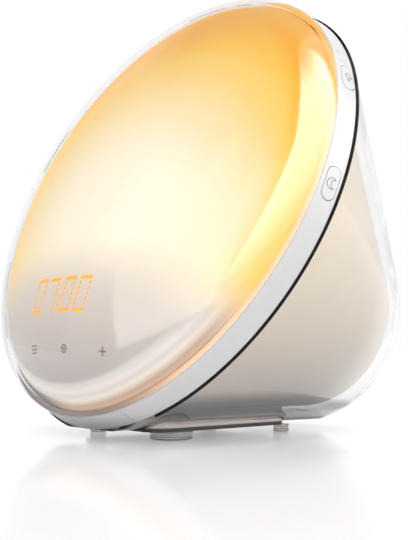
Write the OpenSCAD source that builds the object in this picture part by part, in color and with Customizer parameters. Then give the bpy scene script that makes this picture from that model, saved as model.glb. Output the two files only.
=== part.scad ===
// Sunrise alarm clock: a leaning clear dome on a white ring, a clear rear body, and the light,
// clock and sound parts inside. Millimetres, +Z up, table at z = 0, centred over the table.
// The face looks towards -Y and leans back; +X is to the right of someone who faces it.

/* [Front dome] */
// Diameter of the ring's front edge, where the clear dome starts
face_d = 186; // [180:1:192]
// Lean of the whole face, in degrees from upright
face_tilt = 23.8; // [20:0.2:28]
// Height of the clear dome in front of the ring
dome_h = 31; // [28:0.5:34]
// Wall of the clear dome
dome_wall = 1.8; // [1.4:0.1:2.4]
// Gap between the clear dome and the diffuser at the middle
dome_gap = 0.8; // [0.6:0.1:1.4]
// Gap between the clear dome and the diffuser at the rim
rim_gap = 1.6; // [1.4:0.1:2]
// Wall of the diffuser
diffuser_wall = 1.8; // [1.2:0.1:2.4]
// Thickness of the diffuser's rim flange
diffuser_flange = 1.6; // [1.2:0.1:2]
// Thickness of the light ring under the dome's rim
glow_t = 0.6; // [0.4:0.1:1]

/* [Trim ring] */
// Depth of the white ring, front edge to back edge
ring_depth = 8.3; // [8:0.1:9.5]
// How much wider the ring's radius is at the back
ring_flare = 1.2; // [0.8:0.1:1.6]
// Wall of the ring at its front edge
ring_wall = 2.4; // [2:0.1:2.8]
// Angle taken by the separate insert at the bottom of the ring
insert_arc = 35; // [24:1:44]
// Width of the seam on each side of the insert
seam = 0.25; // [0.15:0.05:0.4]
// Thickness of the black seal behind the ring
seal_t = 1; // [0.8:0.1:1.8]
// Thickness of the seal's inner lip
seal_lip = 0.8; // [0.6:0.1:1.2]

/* [Buttons] */
// Length of a button along the ring
button_l = 11.8; // [9:0.2:13]
// Part of the ring's depth that a button leaves free, both sides together
button_margin = 3.1; // [2.8:0.1:4]
// How far a button stands out of the ring
button_proud = 0.3; // [0.1:0.05:0.5]
// How far a button moves when pressed
button_travel = 0.8; // [0.5:0.1:1]
// Gap round a button
button_gap = 0.3; // [0.2:0.05:0.45]
// Angle of the lower pair of buttons from the ring's widest line
lower_button_angle = -3; // [-8:0.5:2]
// Angle of the upper pair of buttons from the ring's widest line
upper_button_angle = 25.2; // [22:0.2:32]
// How far the middle of the lower buttons lies behind the ring's middle
lower_button_shift = 0.15; // [0:0.05:0.5]
// How far the middle of the upper buttons lies behind the ring's middle
upper_button_shift = 0.65; // [0:0.05:0.65]

/* [Clock display] */
// Width of a digit
digit_w = 6.9; // [5.5:0.1:8]
// Height of a digit
digit_h = 13.4; // [11:0.2:15]
// Distance between the middles of two digits of a pair
digit_pitch = 9.7; // [9.5:0.1:11]
// Extra distance between the hours and the minutes
colon_space = 1.2; // [0.8:0.1:2.5]
// Slant of the digits, in degrees
digit_slant = 13; // [0:1:15]
// Middle of the clock time to the right of the middle of the face
clock_x = -2; // [-8:0.5:8]
// Middle of the clock time above the ring's front edge at the bottom, along the slope
clock_rise = 39.7; // [37:0.1:43]
// Touch marks below the middle of the clock time
touch_gap = 19.1; // [18:0.1:20.5]
// Width of the menu mark's bars
mark_w = 4.4; // [3:0.1:5]
// Width of the plus mark and of the round mark
plus_w = 3.4; // [2.4:0.1:4]
// Distance between the menu mark's bars
bar_step = 1.2; // [1:0.1:1.6]
// Thickness of a printed mark or light window
mark_t = 0.3; // [0.2:0.05:0.5]

/* [Rear body] */
// Reach of the rear body behind the middle of the face
rear_reach = 97; // [92:0.5:102]
// How far the clear body's front rim stands out past the ring's back edge
rim_lap = 0.8; // [0.2:0.1:1.4]
// Width of the rounded rear end
bulb_w = 129; // [122:1:134]
// Height of the rounded rear end
bulb_h = 107.4; // [104:0.2:110]
// Depth of the rounded rear end
bulb_d = 59; // [54:1:64]
// Height of the middle of the rounded rear end over the table
bulb_z = 54.2; // [53:0.2:56]
// Tip of the rounded rear end, in degrees, its back upwards
bulb_tip = 7; // [4:0.5:10]
// Wall of the clear rear shell
shell_wall = 2.4; // [2:0.1:2.8]
// Lowest level of the clear rear shell over the table
shell_lift = 3.4; // [3.2:0.1:4]

/* [Inner housing] */
// Gap kept between the clear shell and the frosted housing at the rear end
housing_gap = 5.6; // [4.6:0.1:6.5]
// Wall of the frosted housing
housing_wall = 1.8; // [1.4:0.1:2.2]
// Lift of the housing's rounded end inside the shell
housing_lift = 1.5; // [1:0.1:2]
// Step from the clear body's rim in to the housing's rim
housing_inset = 7.7; // [7.2:0.1:8.1]
// Height of the tray's parting line under the middle of the face
parting_z = 22; // [20:0.5:25]
// Fall of the parting line towards the rear, in degrees
parting_fall = 7; // [5:0.5:9]

/* [Base] */
// Height of the feet
foot_h = 2.8; // [2.4:0.1:3]
// Lowest point of the white ring over the table
ring_lift = 3.3; // [3:0.1:4]
// Width of the base plate
base_w = 52; // [50:1:56]
// Length of the base plate, front to rear
base_l = 68; // [66:1:72]
// Corner radius of the base plate
base_r = 8; // [6:0.5:12]
// Middle of the base plate behind the lowest point of the ring's front edge
base_behind = 53; // [51:0.5:55]
// Thickness of the base plate
base_t = 2.4; // [2:0.1:2.8]
// Height of the base plate's skirt over its plate
skirt_h = 4; // [3.8:0.1:4.6]
// Diameter of the large front foot
large_foot_d = 16; // [10:0.5:17]
// Diameter of the small feet
small_foot_d = 6.6; // [5:0.1:8]
// Middle of the large foot inside the side of the base plate
large_foot_inset = 4.5; // [3:0.5:8]
// Middle of a small foot inside the side of the base plate
small_foot_inset = 3; // [2.5:0.5:6]
// Middle of the large foot behind the front end of the base plate
front_foot_inset = 10.5; // [9.5:0.5:12]
// Middle of the rear feet ahead of the rear end of the base plate
rear_foot_inset = 2.5; // [2.5:0.5:4]
// How far the small front foot lies ahead of the large one
foot_lead = 3; // [0:0.5:4]

/* [Speaker] */
// Diameter of the speaker's flange
speaker_d = 46; // [42:1:48]
// Height of the speaker's basket
basket_h = 10; // [8:0.5:12]
// Diameter of the speaker's magnet
magnet_d = 30; // [26:1:34]
// Height of the speaker's magnet
magnet_h = 7; // [5:0.5:9]
// Thickness of the gasket under the speaker
gasket_t = 1; // [0.6:0.1:1.4]
// Middle of the speaker behind the middle of the base plate
speaker_back = 3; // [2:0.5:3.5]
// Width of a sound slot in the base plate
slot_w = 2.4; // [1.6:0.1:2.8]
// Distance from one sound slot to the next
slot_pitch = 4.4; // [4:0.1:5]

/* [Sockets] */
// Width of the socket panel left outside the last socket
panel_edge = 2.2; // [1.4:0.1:4]
// Height of the socket panel
panel_h = 15; // [14:0.5:17]
// Thickness of the socket panel
panel_t = 1.2; // [1:0.1:1.6]
// Height of the middle of the socket panel over the table
panel_z = 56; // [50:0.5:60]
// How far the panel lies inside the rearmost point of the body
panel_sink = 1.2; // [0.8:0.1:1.8]
// Distance from one socket to the next
socket_pitch = 13.5; // [13:0.1:14]
// Bore of the power socket
power_bore = 5.7; // [5.5:0.1:6]
// Diameter of the power socket's centre pin
power_pin_d = 2; // [1.6:0.1:2.5]
// Bore of the audio socket
audio_bore = 3.6; // [3.5:0.05:3.8]

/* [Main board] */
// Width of the main board
main_w = 66; // [62:1:68]
// Thickness of the main board
main_t = 1.6; // [1.2:0.1:2]
// Depth of the main board behind the ring's front edge
main_a = 24; // [22:0.5:25]
// Top edge of the main board below the edge of the lit area
main_drop = 9; // [8:0.5:11]
// Lower edge of the main board above the ring's front edge at the bottom
main_rise = 23; // [22:0.5:25]

/* [Light] */
// Radius of the light board
light_r = 25; // [22:0.5:26]
// Depth of the reflector bowl behind the carrier's face
bowl_depth = 20; // [17:0.5:22]
// Wall of the reflector bowl
bowl_wall = 1.5; // [1.2:0.1:2]
// Length of a heat sink fin
fin_h = 10; // [6:0.5:14]
// Thickness of a heat sink fin
fin_t = 1.2; // [1:0.1:1.6]
// Distance from one heat sink fin to the next
fin_pitch = 5; // [4:0.1:5.4]
// Edge of the lit area below the middle of the face
light_drop = 27; // [27:0.5:29]

/* [Hidden] */
$fn = 96;
eps = 0.01;

// ---- the leaning face: x to the right, y up the slope, z out of the front ----
face_r = face_d / 2;
ring_back_r = face_r + ring_flare;
ring_in_r = face_r - ring_wall;
face_z = ring_lift + ring_depth * sin(face_tilt) + ring_back_r * cos(face_tilt);
front_reach = norm([dome_h * cos(face_tilt), face_r * sin(face_tilt)]);
face_y = (front_reach - rear_reach) / 2;
face_c = [0, face_y, face_z];
slope = [0, sin(face_tilt), cos(face_tilt)];
outward = [0, -cos(face_tilt), sin(face_tilt)];

diffuser_r = ring_in_r - rim_gap;
diffuser_h = dome_h - dome_wall - dome_gap;
dome_steps = 22;

glow_w = ring_wall - 0.7;

// depths behind the ring's front edge
plate_a = diffuser_flange;
plate_t = 1.8;
plate_b = plate_a + plate_t;
shell_a = ring_depth + seal_t;
housing_a = shell_a + seal_lip;

// radii of the carrier and what it holds
fit = 0.3;
carrier_r = ring_in_r - fit;
carrier_in_r = face_r - 17;
deck_cut = light_drop;
clock_drop = face_r - clock_rise;
touch_drop = clock_drop + touch_gap;
barrier_t = 1.5;
seat_r = face_r - 9.6;
seat_l = 16;
boss_orbit = face_r - 12.4;
boss_r = 3;
boss_angles = [60, 120, 215, 325];
screw_r = 1.5;

// ---- buttons ----
button_angles = [upper_button_angle, lower_button_angle,
                 180 - lower_button_angle, 180 - upper_button_angle];
button_depths = ring_depth / 2 * [1, 1, 1, 1]
    + [upper_button_shift, lower_button_shift, lower_button_shift, upper_button_shift];
button_w = ring_depth - button_margin;
button_out = face_r + ring_flare + 4;
button_lip_r = ring_in_r - 0.6;
button_lip_t = 1;
button_lip = 0.8;
stem_r = button_lip_r - button_lip_t - 0.7;
board_t = 1;
switch_top = stem_r - button_travel - 0.2;
switch_body = switch_top - 0.6;

// ---- rear body ----
bulb_half = [bulb_w, bulb_d, bulb_h] / 2;
bulb_c = [0, face_y + rear_reach - norm([bulb_half.y * cos(bulb_tip), bulb_half.z * sin(bulb_tip)]),
          bulb_z];
body_rim_r = ring_back_r + rim_lap;
housing_rim_r = body_rim_r - housing_inset;
skin_sides = 64;
skin_rows = 8;
tray_z = foot_h + base_t + skirt_h;
deck_t = 2;
post_h = 8;
// a skin is [rim radius, depth of its rim, shrink of the bulb, lift of the bulb, lowest level]
shell_skin = [body_rim_r, shell_a, 0, 0, shell_lift];
housing_skin = [housing_rim_r, housing_a, housing_gap, housing_lift, tray_z];

// ---- base ----
base_y = face_y - face_r * sin(face_tilt) + base_behind;
base_top = foot_h + base_t;
speaker_y = base_y + speaker_back;
large_foot_x = base_w / 2 - large_foot_inset;
small_foot_x = base_w / 2 - small_foot_inset;
foot_front_y = base_y - base_l / 2 + front_foot_inset;
foot_rear_y = base_y + base_l / 2 - rear_foot_inset;
screw_x = 12;
screw_inset = 5;
screw_front_y = base_y - base_l / 2 + screw_inset;
screw_rear_y = base_y + base_l / 2 - screw_inset;

// ---- sockets ----
panel_y = face_y + rear_reach - panel_sink;
boss_back_y = panel_y - panel_t;
boss_len = 15;
boss_front_y = boss_back_y - boss_len;
socket_case = 9;
power_x = -socket_pitch;
usb_x = socket_pitch;
usb_hole_w = 12.6;
panel_w = 2 * (usb_x + usb_hole_w / 2 + panel_edge);

// ---- light ----
bowl_rim_r = boss_orbit - boss_r - fit;
bowl_mouth_r = bowl_rim_r - 5;
bowl_back = plate_b + bowl_depth;
bowl_floor_r = light_r + 1;
bowl_hole_r = light_r - 6;
led_z = -(bowl_back + bowl_wall);

// ---- display ----
deck_top = -plate_a;
dash_cols = 6;
dash_rows = 7;
dash_w = 0.95;
dash_gap = 0.38;

// =============================== shared shapes ===============================

// Moves children from the face's own axes to where the face leans
module on_face() {
    translate(face_c) rotate([90 - face_tilt, 0, 0]) children();
}

function on_face_point(x, v, w) = face_c + [x, 0, 0] + v * slope + w * outward;

// Places children on the ring: z outwards from the axis, x towards the back, y along the ring
module at_rim(angle, depth) {
    on_face() rotate([0, 0, angle]) translate([0, 0, -depth]) rotate([0, 90, 0]) children();
}

// A slab across the face between two radii, seen from the ring
module rim_block(r0, r1, across, along) {
    translate([-across / 2, -along / 2, r0]) cube([across, along, r1 - r0]);
}

// Half an ellipse as points from its rim to its top
function ellipse_arc(r, h, from = 0) = [
    for (i = [0 : dome_steps]) let(a = from + (90 - from) * i / dome_steps) [r * cos(a), h * sin(a)]
];
function reversed(list) = [for (i = [len(list) - 1 : -1 : 0]) list[i]];

// Height of the diffuser's outside over the ring's front edge
function dome_at(x, y) = diffuser_h * sqrt(max(0, 1 - (x * x + y * y) / pow(diffuser_r, 2)));
// Height of the diffuser's inside over the ring's front edge
function under_dome(x, y) = (diffuser_h - diffuser_wall)
    * sqrt(max(0, 1 - (x * x + y * y) / pow(diffuser_r - diffuser_wall, 2)));
function dome_slope(x, y) = -pow(diffuser_h / diffuser_r, 2) / dome_at(x, y) * [x, y];

// Lays children flat on the diffuser's outside at x, y
module on_dome(x, y) {
    s = dome_slope(x, y);
    on_face() translate([x, y, dome_at(x, y)])
        rotate([asin(s.y / norm([s.x, s.y, 1])), atan(-s.x), 0]) children();
}

// A straight-sided slot shape with round ends
module stadium(length, width) {
    square([width, length - width], center = true);
    for (s = [-1, 1]) translate([0, s * (length - width) / 2]) circle(d = width);
}

module rounded_rect(w, l, r) {
    square([w - 2 * r, l], center = true);
    square([w, l - 2 * r], center = true);
    for (sx = [-1, 1], sy = [-1, 1])
        translate([sx * (w / 2 - r), sy * (l / 2 - r)]) circle(r = r);
}

// A screw that points up, its head's top at z = 0 below it
module screw(length, head_r, head_h, shank_r) {
    translate([0, 0, -head_h]) difference() {
        cylinder(r = head_r, h = head_h);
        translate([0, 0, -eps]) cylinder(r = head_r / 2, h = head_h / 2, $fn = 6);
    }
    translate([0, 0, -eps]) cylinder(r = shank_r, h = length + eps);
}

// ------------------------- the skins of the rear body -------------------------
// A skin wraps a round rim on the leaning face and an ellipsoid at the rear in one tight
// surface: from each rim point a straight line runs to where the plane along the rim touches
// the ellipsoid, and the ellipsoid's own surface closes the end.

function skin_half(s) = bulb_half - s[2] * [1, 1, 1];
function skin_centre(s) = bulb_c + [0, 0, s[3]];
function tip_in(p) = [p.x, p.y * cos(bulb_tip) + p.z * sin(bulb_tip),
                      p.z * cos(bulb_tip) - p.y * sin(bulb_tip)];
function tip_out(p) = [p.x, p.y * cos(bulb_tip) - p.z * sin(bulb_tip),
                       p.z * cos(bulb_tip) + p.y * sin(bulb_tip)];
function divided(p, h) = [p.x / h.x, p.y / h.y, p.z / h.z];
function times(p, h) = [p.x * h.x, p.y * h.y, p.z * h.z];
function unit(p) = p / norm(p);

function rim_raw(s, u) = face_c - s[1] * outward
    + s[0] * (cos(u) * [1, 0, 0] + sin(u) * slope);
// the rim's lowest stretch slides up its own plane to the lowest level
function rim_point(s, u) = let(p = rim_raw(s, u)) p + slope * max(0, s[4] - p.z) / slope.z;

// Direction, on the unit ball, where the plane along the rim at u touches the ellipsoid
function touch(s, u) =
    let(c = divided(tip_in(rim_raw(s, u) - skin_centre(s)), skin_half(s)),
        d = unit(divided(tip_in(cos(u) * slope - sin(u) * [1, 0, 0]), skin_half(s))),
        across = c - (c * d) * d,
        far = norm(across),
        e = across / far)
    e / far + cross(d, e) * sqrt(1 - 1 / (far * far));

function floored(p, low) = [p.x, p.y, max(p.z, low)];
function bulb_point(s, m) = floored(skin_centre(s) + tip_out(times(m, skin_half(s))), s[4]);
function skin_point(s, row, u) = row == 0 ? rim_point(s, u)
    : bulb_point(s, unit((skin_rows - row) * touch(s, u) + (row - 1) * [0, 1, 0]));

function sunk(s, t) = [s[0] - t, s[1], s[2] + t, s[3], s[4] + t];
function skin_points(s) = concat(
    [for (row = [0 : skin_rows - 1], i = [0 : skin_sides - 1]) skin_point(s, row, i * 360 / skin_sides)],
    [bulb_point(s, [0, 1, 0])]);

// Triangles of one skin whose first point has the number start; flip turns them inside out
function flipped(face, flip) = flip ? reversed(face) : face;
function skin_faces(start, flip) = concat(
    [for (row = [0 : skin_rows - 2], i = [0 : skin_sides - 1], half = [0, 1])
        let(j = (i + 1) % skin_sides, a = start + row * skin_sides, b = a + skin_sides)
        flipped(half == 0 ? [a + i, a + j, b + j] : [a + i, b + j, b + i], flip)],
    [for (i = [0 : skin_sides - 1])
        let(a = start + (skin_rows - 1) * skin_sides)
        flipped([a + i, a + (i + 1) % skin_sides, start + skin_rows * skin_sides], flip)]);

// A closed shell of wall t under the skin s, open at its rim
module skin_shell(s, t) {
    count = skin_rows * skin_sides + 1;
    polyhedron(
        points = concat(skin_points(s), skin_points(sunk(s, t))),
        faces = concat(
            skin_faces(0, false),
            skin_faces(count, true),
            [for (i = [0 : skin_sides - 1], half = [0, 1])
                let(j = (i + 1) % skin_sides)
                half == 0 ? [j, i, count + i] : [j, count + i, count + j]]),
        convexity = 6);
}

// =============================== front of the clock ===============================

module front_cover() {
    seat = 2;
    seat_r_in = diffuser_r + fit;
    inner_r = ring_in_r;
    inner_h = dome_h - dome_wall;
    start = acos(seat_r_in / inner_r);
    color("white", 0.35) on_face() {
        difference() {
            rotate_extrude() polygon(concat(
                ellipse_arc(face_r, dome_h),
                reversed(ellipse_arc(inner_r, inner_h, start)),
                [[seat_r_in, 0]]));
            // groove for the light ring
            translate([0, 0, -1]) rotate_extrude()
                translate([ring_in_r - 0.15, 0]) square([glow_w + 0.3, 1 + glow_t + fit]);
        }
        // eight short tabs that drop inside the ring onto the carrier
        for (a = [50, 78, 102, 130, 205, 230, 310, 335])
            rotate([0, 0, a - 4]) rotate_extrude(angle = 8)
                translate([seat_r_in + 0.1, -plate_a])
                    square([carrier_r - seat_r_in - 0.1, plate_a + seat]);
    }
}

// A thin ring that carries light round the dome's rim, on the white ring's front
module rim_light() {
    color("orange") on_face() rotate_extrude() translate([ring_in_r, 0]) square([glow_w, glow_t]);
}

module front_diffuser() {
    inner_r = diffuser_r - diffuser_wall;
    flange_in = inner_r - 4;
    // the flange stays inside the pressed buttons' lips
    flange_r = button_lip_r - button_lip_t - button_travel - fit;
    color([1, 0.82, 0.5]) on_face() {
        rotate_extrude() polygon(concat(
            [[flange_in, 0], [flange_in, -diffuser_flange], [flange_r, -diffuser_flange], [flange_r, 0]],
            ellipse_arc(diffuser_r, diffuser_h),
            reversed(ellipse_arc(inner_r, diffuser_h - diffuser_wall))));
    }
}

// One slanted dash of the display, w wide and h high
module dash(x, y, w, h) {
    lean = h / 2 * tan(digit_slant);
    on_dome(x, y) translate([0, 0, -mark_t / 2]) linear_extrude(mark_t)
        polygon([[-w / 2 - lean, -h / 2], [w / 2 - lean, -h / 2],
                 [w / 2 + lean, h / 2], [-w / 2 + lean, h / 2]]);
}

// A digit in a grid of dashes: lit(column, row) says which ones there are
module digit(x0, figure) {
    step_x = (digit_w - dash_w) / (dash_cols - 1);
    step_y = digit_h / dash_rows;
    for (c = [0 : dash_cols - 1], r = [0 : dash_rows - 1]) {
        edge = c == dash_cols - 1 || r == dash_rows - 1;
        lit = figure == 7 ? edge : edge || c == 0 || r == 0;
        up = (r - (dash_rows - 1) / 2) * step_y;
        if (lit)
            dash(x0 + (c - (dash_cols - 1) / 2) * step_x + up * tan(digit_slant),
                 up - clock_drop, dash_w, step_y - dash_gap);
    }
}

module clock_digits() {
    pair = digit_pitch + colon_space / 2;
    color("orange") {
        digit(clock_x - pair - digit_pitch / 2, 0);
        digit(clock_x - pair + digit_pitch / 2, 7);
        digit(clock_x + pair - digit_pitch / 2, 0);
        digit(clock_x + pair + digit_pitch / 2, 0);
        for (up = [-4.1, -2.3, 2.3, 4.1])
            dash(clock_x + up * tan(digit_slant), up - clock_drop, 0.6, 1.1);
    }
}

// A menu sign of three bars, a choose sign and a plus sign, printed on the diffuser
module touch_marks() {
    stroke = mark_w / 8;
    color("dimgray") {
        for (row = [-1, 0, 1])
            on_dome(touch_xs[0], row * bar_step - touch_drop) translate([0, 0, -mark_t / 2])
                linear_extrude(mark_t) square([mark_w, stroke], center = true);
        on_dome(touch_xs[1], -touch_drop) translate([0, 0, -mark_t / 2]) linear_extrude(mark_t) {
            difference() {
                circle(d = plus_w);
                circle(d = plus_w - 2 * stroke);
            }
            circle(r = stroke * 1.1);
        }
        on_dome(touch_xs[2], -touch_drop) translate([0, 0, -mark_t / 2]) linear_extrude(mark_t) {
            square([plus_w, stroke], center = true);
            square([stroke, plus_w], center = true);
        }
    }
}

// =============================== ring, seal and buttons ===============================

// The ring's section: x is the radius, y the depth behind the front edge, as a minus
module ring_section() {
    edge = 0.4;
    polygon([[ring_in_r, 0], [face_r - edge, 0], [face_r, -edge],
             [ring_back_r, -ring_depth + edge], [ring_back_r - edge, -ring_depth],
             [ring_in_r, -ring_depth]]);
}

module button_prism(grow, r0, r1) {
    translate([0, 0, r0]) linear_extrude(r1 - r0)
        stadium(button_l + 2 * grow, button_w + 2 * grow);
}

module trim_ring() {
    slit = seam / face_r * 180 / PI;
    color("whitesmoke") difference() {
        on_face() rotate([0, 0, -90 + insert_arc / 2 + slit])
            rotate_extrude(angle = 360 - insert_arc - 2 * slit) ring_section();
        for (i = [0 : 3])
            at_rim(button_angles[i], button_depths[i])
                button_prism(button_gap, ring_in_r - 6, button_out);
    }
}

module ring_insert() {
    color("whitesmoke") on_face() rotate([0, 0, -90 - insert_arc / 2])
        rotate_extrude(angle = insert_arc) ring_section();
}

// A button: its outside follows the ring, a lip inside keeps it in
module ring_button(i) {
    on_face() render_button(i);
}

module render_button(i) {
    intersection() {
        rotate([0, 0, button_angles[i]]) translate([0, 0, -button_depths[i]]) rotate([0, 90, 0])
            button_prism(0, button_lip_r - eps, button_out);
        rotate_extrude() polygon([
            [0, 0], [face_r + button_proud, 0],
            [ring_back_r + button_proud, -ring_depth], [0, -ring_depth]]);
    }
    rotate([0, 0, button_angles[i]]) translate([0, 0, -button_depths[i]]) rotate([0, 90, 0]) {
        button_prism(button_lip, button_lip_r - button_lip_t, button_lip_r);
        rim_block(stem_r, button_lip_r - button_lip_t + eps, 2.4, 4);
    }
}

module light_button() { color("white") ring_button(0); }
module snooze_button() { color("white") ring_button(1); }
module alarm_button() { color("white") ring_button(2); }
module sound_button() { color("white") ring_button(3); }

module switch_boards() {
    color("darkgreen") for (i = [0 : 3])
        at_rim(button_angles[i], button_depths[i]) rim_block(seat_r, seat_r + board_t, button_w - 0.2, seat_l - 1);
}

module button_switches() {
    color("silver") for (i = [0 : 3])
        at_rim(button_angles[i], button_depths[i]) {
            rim_block(seat_r + board_t, switch_body, button_w - 1.6, 6);
            translate([0, 0, switch_body - eps]) cylinder(r = 1.1, h = switch_top - switch_body + eps);
        }
}

module seal_ring() {
    outer = ring_back_r - 0.7;
    lip_in = housing_rim_r - 0.8;
    lip_out = housing_rim_r + 2.4;
    color([0.12, 0.12, 0.12]) on_face() rotate_extrude() polygon([
        [lip_in, -ring_depth], [outer, -ring_depth], [outer, -shell_a],
        [lip_out, -shell_a], [lip_out, -housing_a], [lip_in, -housing_a]]);
}

// =============================== carrier and light ===============================

module carrier_frame() {
    wall_in = carrier_r - 2.3;
    flange_in = norm([seat_r, seat_l / 2]) + 0.2;
    zone = button_l + 9;
    post_r = 2.5;
    color([0.9, 0.9, 0.88]) {
        difference() {
            on_face() {
                // front plate, its outer wall and its back flange
                rotate_extrude() {
                    translate([carrier_in_r, -plate_b])
                        square([carrier_r - carrier_in_r, plate_t]);
                    translate([wall_in, -ring_depth])
                        square([carrier_r - wall_in, ring_depth - plate_a]);
                    translate([flange_in, -ring_depth])
                        square([wall_in - flange_in + eps, 1.6]);
                }
                // bosses for the screws that hold the housing
                for (a = boss_angles)
                    rotate([0, 0, a]) translate([boss_orbit, 0, -housing_a])
                        cylinder(r = boss_r, h = housing_a - plate_b + eps);
                // deck for the display, below the lit area
                intersection() {
                    translate([0, 0, -plate_b]) cylinder(r = carrier_in_r + 1, h = plate_t);
                    translate([-face_r, -face_r, -face_r])
                        cube([2 * face_r, face_r - deck_cut, 2 * face_r]);
                }
            }
            for (i = [0 : 3])
                at_rim(button_angles[i], button_depths[i])
                    rim_block(seat_r, carrier_r + 1, 2 * button_w, zone);
            on_face() for (a = boss_angles)
                rotate([0, 0, a]) translate([boss_orbit, 0, -housing_a - eps])
                    cylinder(r = screw_r + 0.05, h = housing_a - plate_b);
        }
        for (i = [0 : 3])
            at_rim(button_angles[i], button_depths[i])
                rim_block(carrier_in_r + 2, seat_r, 2 * (button_depths[i] - plate_a), seat_l);
        on_face() {
            // posts in front for the display board, posts behind for the main board
            for (p = display_posts)
                translate([p.x, p.y, deck_top - eps]) cylinder(r = post_r, h = display_lift + eps);
            for (p = main_posts)
                translate([p.x, p.y, -main_a]) cylinder(r = post_r, h = main_a - plate_b + eps);
        }
    }
}

// display board, module and touch parts stand on the deck
display_lift = 8;
display_w = 54;
display_h = 20;
display_posts = [for (sx = [-1, 1], sy = [-1, 1])
    [clock_x + sx * (display_w / 2 - 4), sy * (display_h / 2 - 3.5) - clock_drop]];
module_h = 5.2;
touch_y = -touch_drop;
menu_x = -18;
select_x = 5;
plus_x = 27;
touch_xs = [menu_x, select_x, plus_x];
touch_board_w = 56;
touch_board_h = 8;
touch_board_t = 1;
main_top = -deck_cut - main_drop;
main_low = main_rise - face_r;
main_back = -main_a - main_t;
main_len = main_top - main_low;
chip_w = main_len / 2.4;
chip_h = main_t;
cap_r = main_len / 8.5;
cap_h = cap_r * 2.2;
plug_l = main_len / 7;
plug_h = main_t * 2.5;
wire_r = 0.7;
lead_sag = 7;
main_posts = [for (sx = [-1, 1], y = [main_top - 4, main_low + 4]) [sx * (main_w / 2 - 5), y]];

module display_board() {
    color("darkgreen") on_face() translate([clock_x, -clock_drop, deck_top + display_lift + 0.8])
        cube([display_w, display_h, 1.6], center = true);
}

// Light wells behind the digits
module display_module() {
    base = deck_top + display_lift + 1.6;
    well_w = digit_w - 1.4;
    well_h = digit_h - 1.4;
    color([0.15, 0.15, 0.16]) on_face() translate([clock_x, -clock_drop, base]) difference() {
        translate([0, 0, module_h / 2])
            cube([4 * digit_pitch + colon_space + 2, digit_h + 2.6, module_h], center = true);
        for (k = [-1.5, -0.5, 0.5, 1.5])
            translate([k * digit_pitch + sign(k) * colon_space / 2 - well_w / 2, -well_h / 2, 1.2])
                cube([well_w, well_h, module_h]);
    }
}

module touch_board() {
    color("darkgreen") on_face()
        translate([(menu_x + plus_x - 1) / 2, touch_y + touch_board_h / 2 - 1, deck_top + touch_board_t / 2])
            cube([touch_board_w, touch_board_h, touch_board_t], center = true);
}

module touch_springs() {
    spring_r = 2.4;
    color("gold") on_face() for (x = touch_xs) {
        top = under_dome(abs(x) + spring_r, touch_y + 3.4 - spring_r) - fit;
        translate([x, touch_y + 3.4, deck_top + touch_board_t]) difference() {
            cylinder(r = spring_r, h = top - deck_top - touch_board_t);
            translate([0, 0, -eps]) cylinder(r = spring_r - 0.5, h = top);
        }
    }
}

// A wall across the face that keeps the lamp's light out of the display
module light_barrier() {
    inner_r = diffuser_r - diffuser_wall - 0.6;
    inner_h = diffuser_h - diffuser_wall - 0.6;
    color("white") on_face() intersection() {
        rotate_extrude() polygon(concat(
            [[0, deck_top], [inner_r - 5, deck_top], [inner_r - 5, 0]],
            [for (p = ellipse_arc(inner_r, inner_h)) if (p.x <= inner_r - 5) p]));
        translate([-face_r, -deck_cut - barrier_t, deck_top])
            cube([2 * face_r, barrier_t, face_r]);
    }
}

// The bowl's outside, as radius and depth
function bowl_outer() = [[bowl_mouth_r, -plate_b], [bowl_mouth_r, -plate_b - bowl_wall],
    [(bowl_mouth_r + bowl_floor_r) / 2 + 8, -(plate_b + bowl_back) / 2 - 2],
    [bowl_floor_r, -bowl_back - bowl_wall]];
function bowl_inner() = [[bowl_hole_r, -bowl_back - bowl_wall], [bowl_hole_r, -bowl_back],
    [bowl_floor_r - 1, -bowl_back],
    [(bowl_mouth_r + bowl_floor_r) / 2 + 6.6, -(plate_b + bowl_back) / 2 - 0.6],
    [bowl_mouth_r - bowl_wall, -plate_b]];

module reflector_bowl() {
    keep_y = -deck_cut + 0.2;
    color("white") on_face() difference() {
        union() {
            intersection() {
                union() {
                    rotate_extrude() polygon(concat(bowl_outer(), bowl_inner()));
                    rotate_extrude() translate([bowl_mouth_r - eps, -plate_b - bowl_wall])
                        square([bowl_rim_r - bowl_mouth_r + eps, bowl_wall]);
                }
                translate([-face_r, keep_y, -face_r]) cube([2 * face_r, 2 * face_r, 2 * face_r]);
            }
            // flat wall that closes the bowl towards the display
            intersection() {
                rotate_extrude() polygon(concat(bowl_outer(), [[0, -bowl_back - bowl_wall], [0, -plate_b]]));
                translate([-face_r, keep_y, -face_r]) cube([2 * face_r, bowl_wall, face_r]);
            }
        }
        for (a = light_screw_angles)
            rotate([0, 0, a]) translate([light_screw_orbit, 0, -face_r])
                cylinder(r = 1.05, h = face_r);
    }
}

light_screw_angles = [30, 150, 270];
light_screw_orbit = light_r - 3;
led_board_t = 1.5;
led_w = 3;
led_h = 0.8;
sink_t = 2;

module led_board() {
    color("white") on_face() translate([0, 0, led_z - led_board_t]) difference() {
        cylinder(r = light_r, h = led_board_t);
        for (a = light_screw_angles)
            rotate([0, 0, a]) translate([light_screw_orbit, 0, -eps])
                cylinder(r = 1.05, h = led_board_t + 2 * eps);
    }
}

module led_ring(count, orbit, turn) {
    on_face() for (i = [0 : count - 1])
        rotate([0, 0, turn + i * 360 / count]) translate([orbit, 0, led_z + led_h / 2])
            cube([led_w, led_w, led_h], center = true);
}

module white_leds() { color("lemonchiffon") led_ring(12, light_r * 0.64, 0); }
module amber_leds() { color("orange") led_ring(6, light_r * 0.4, 15); }
module red_leds() { color("red") led_ring(3, light_r * 0.16, 30); }

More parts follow.
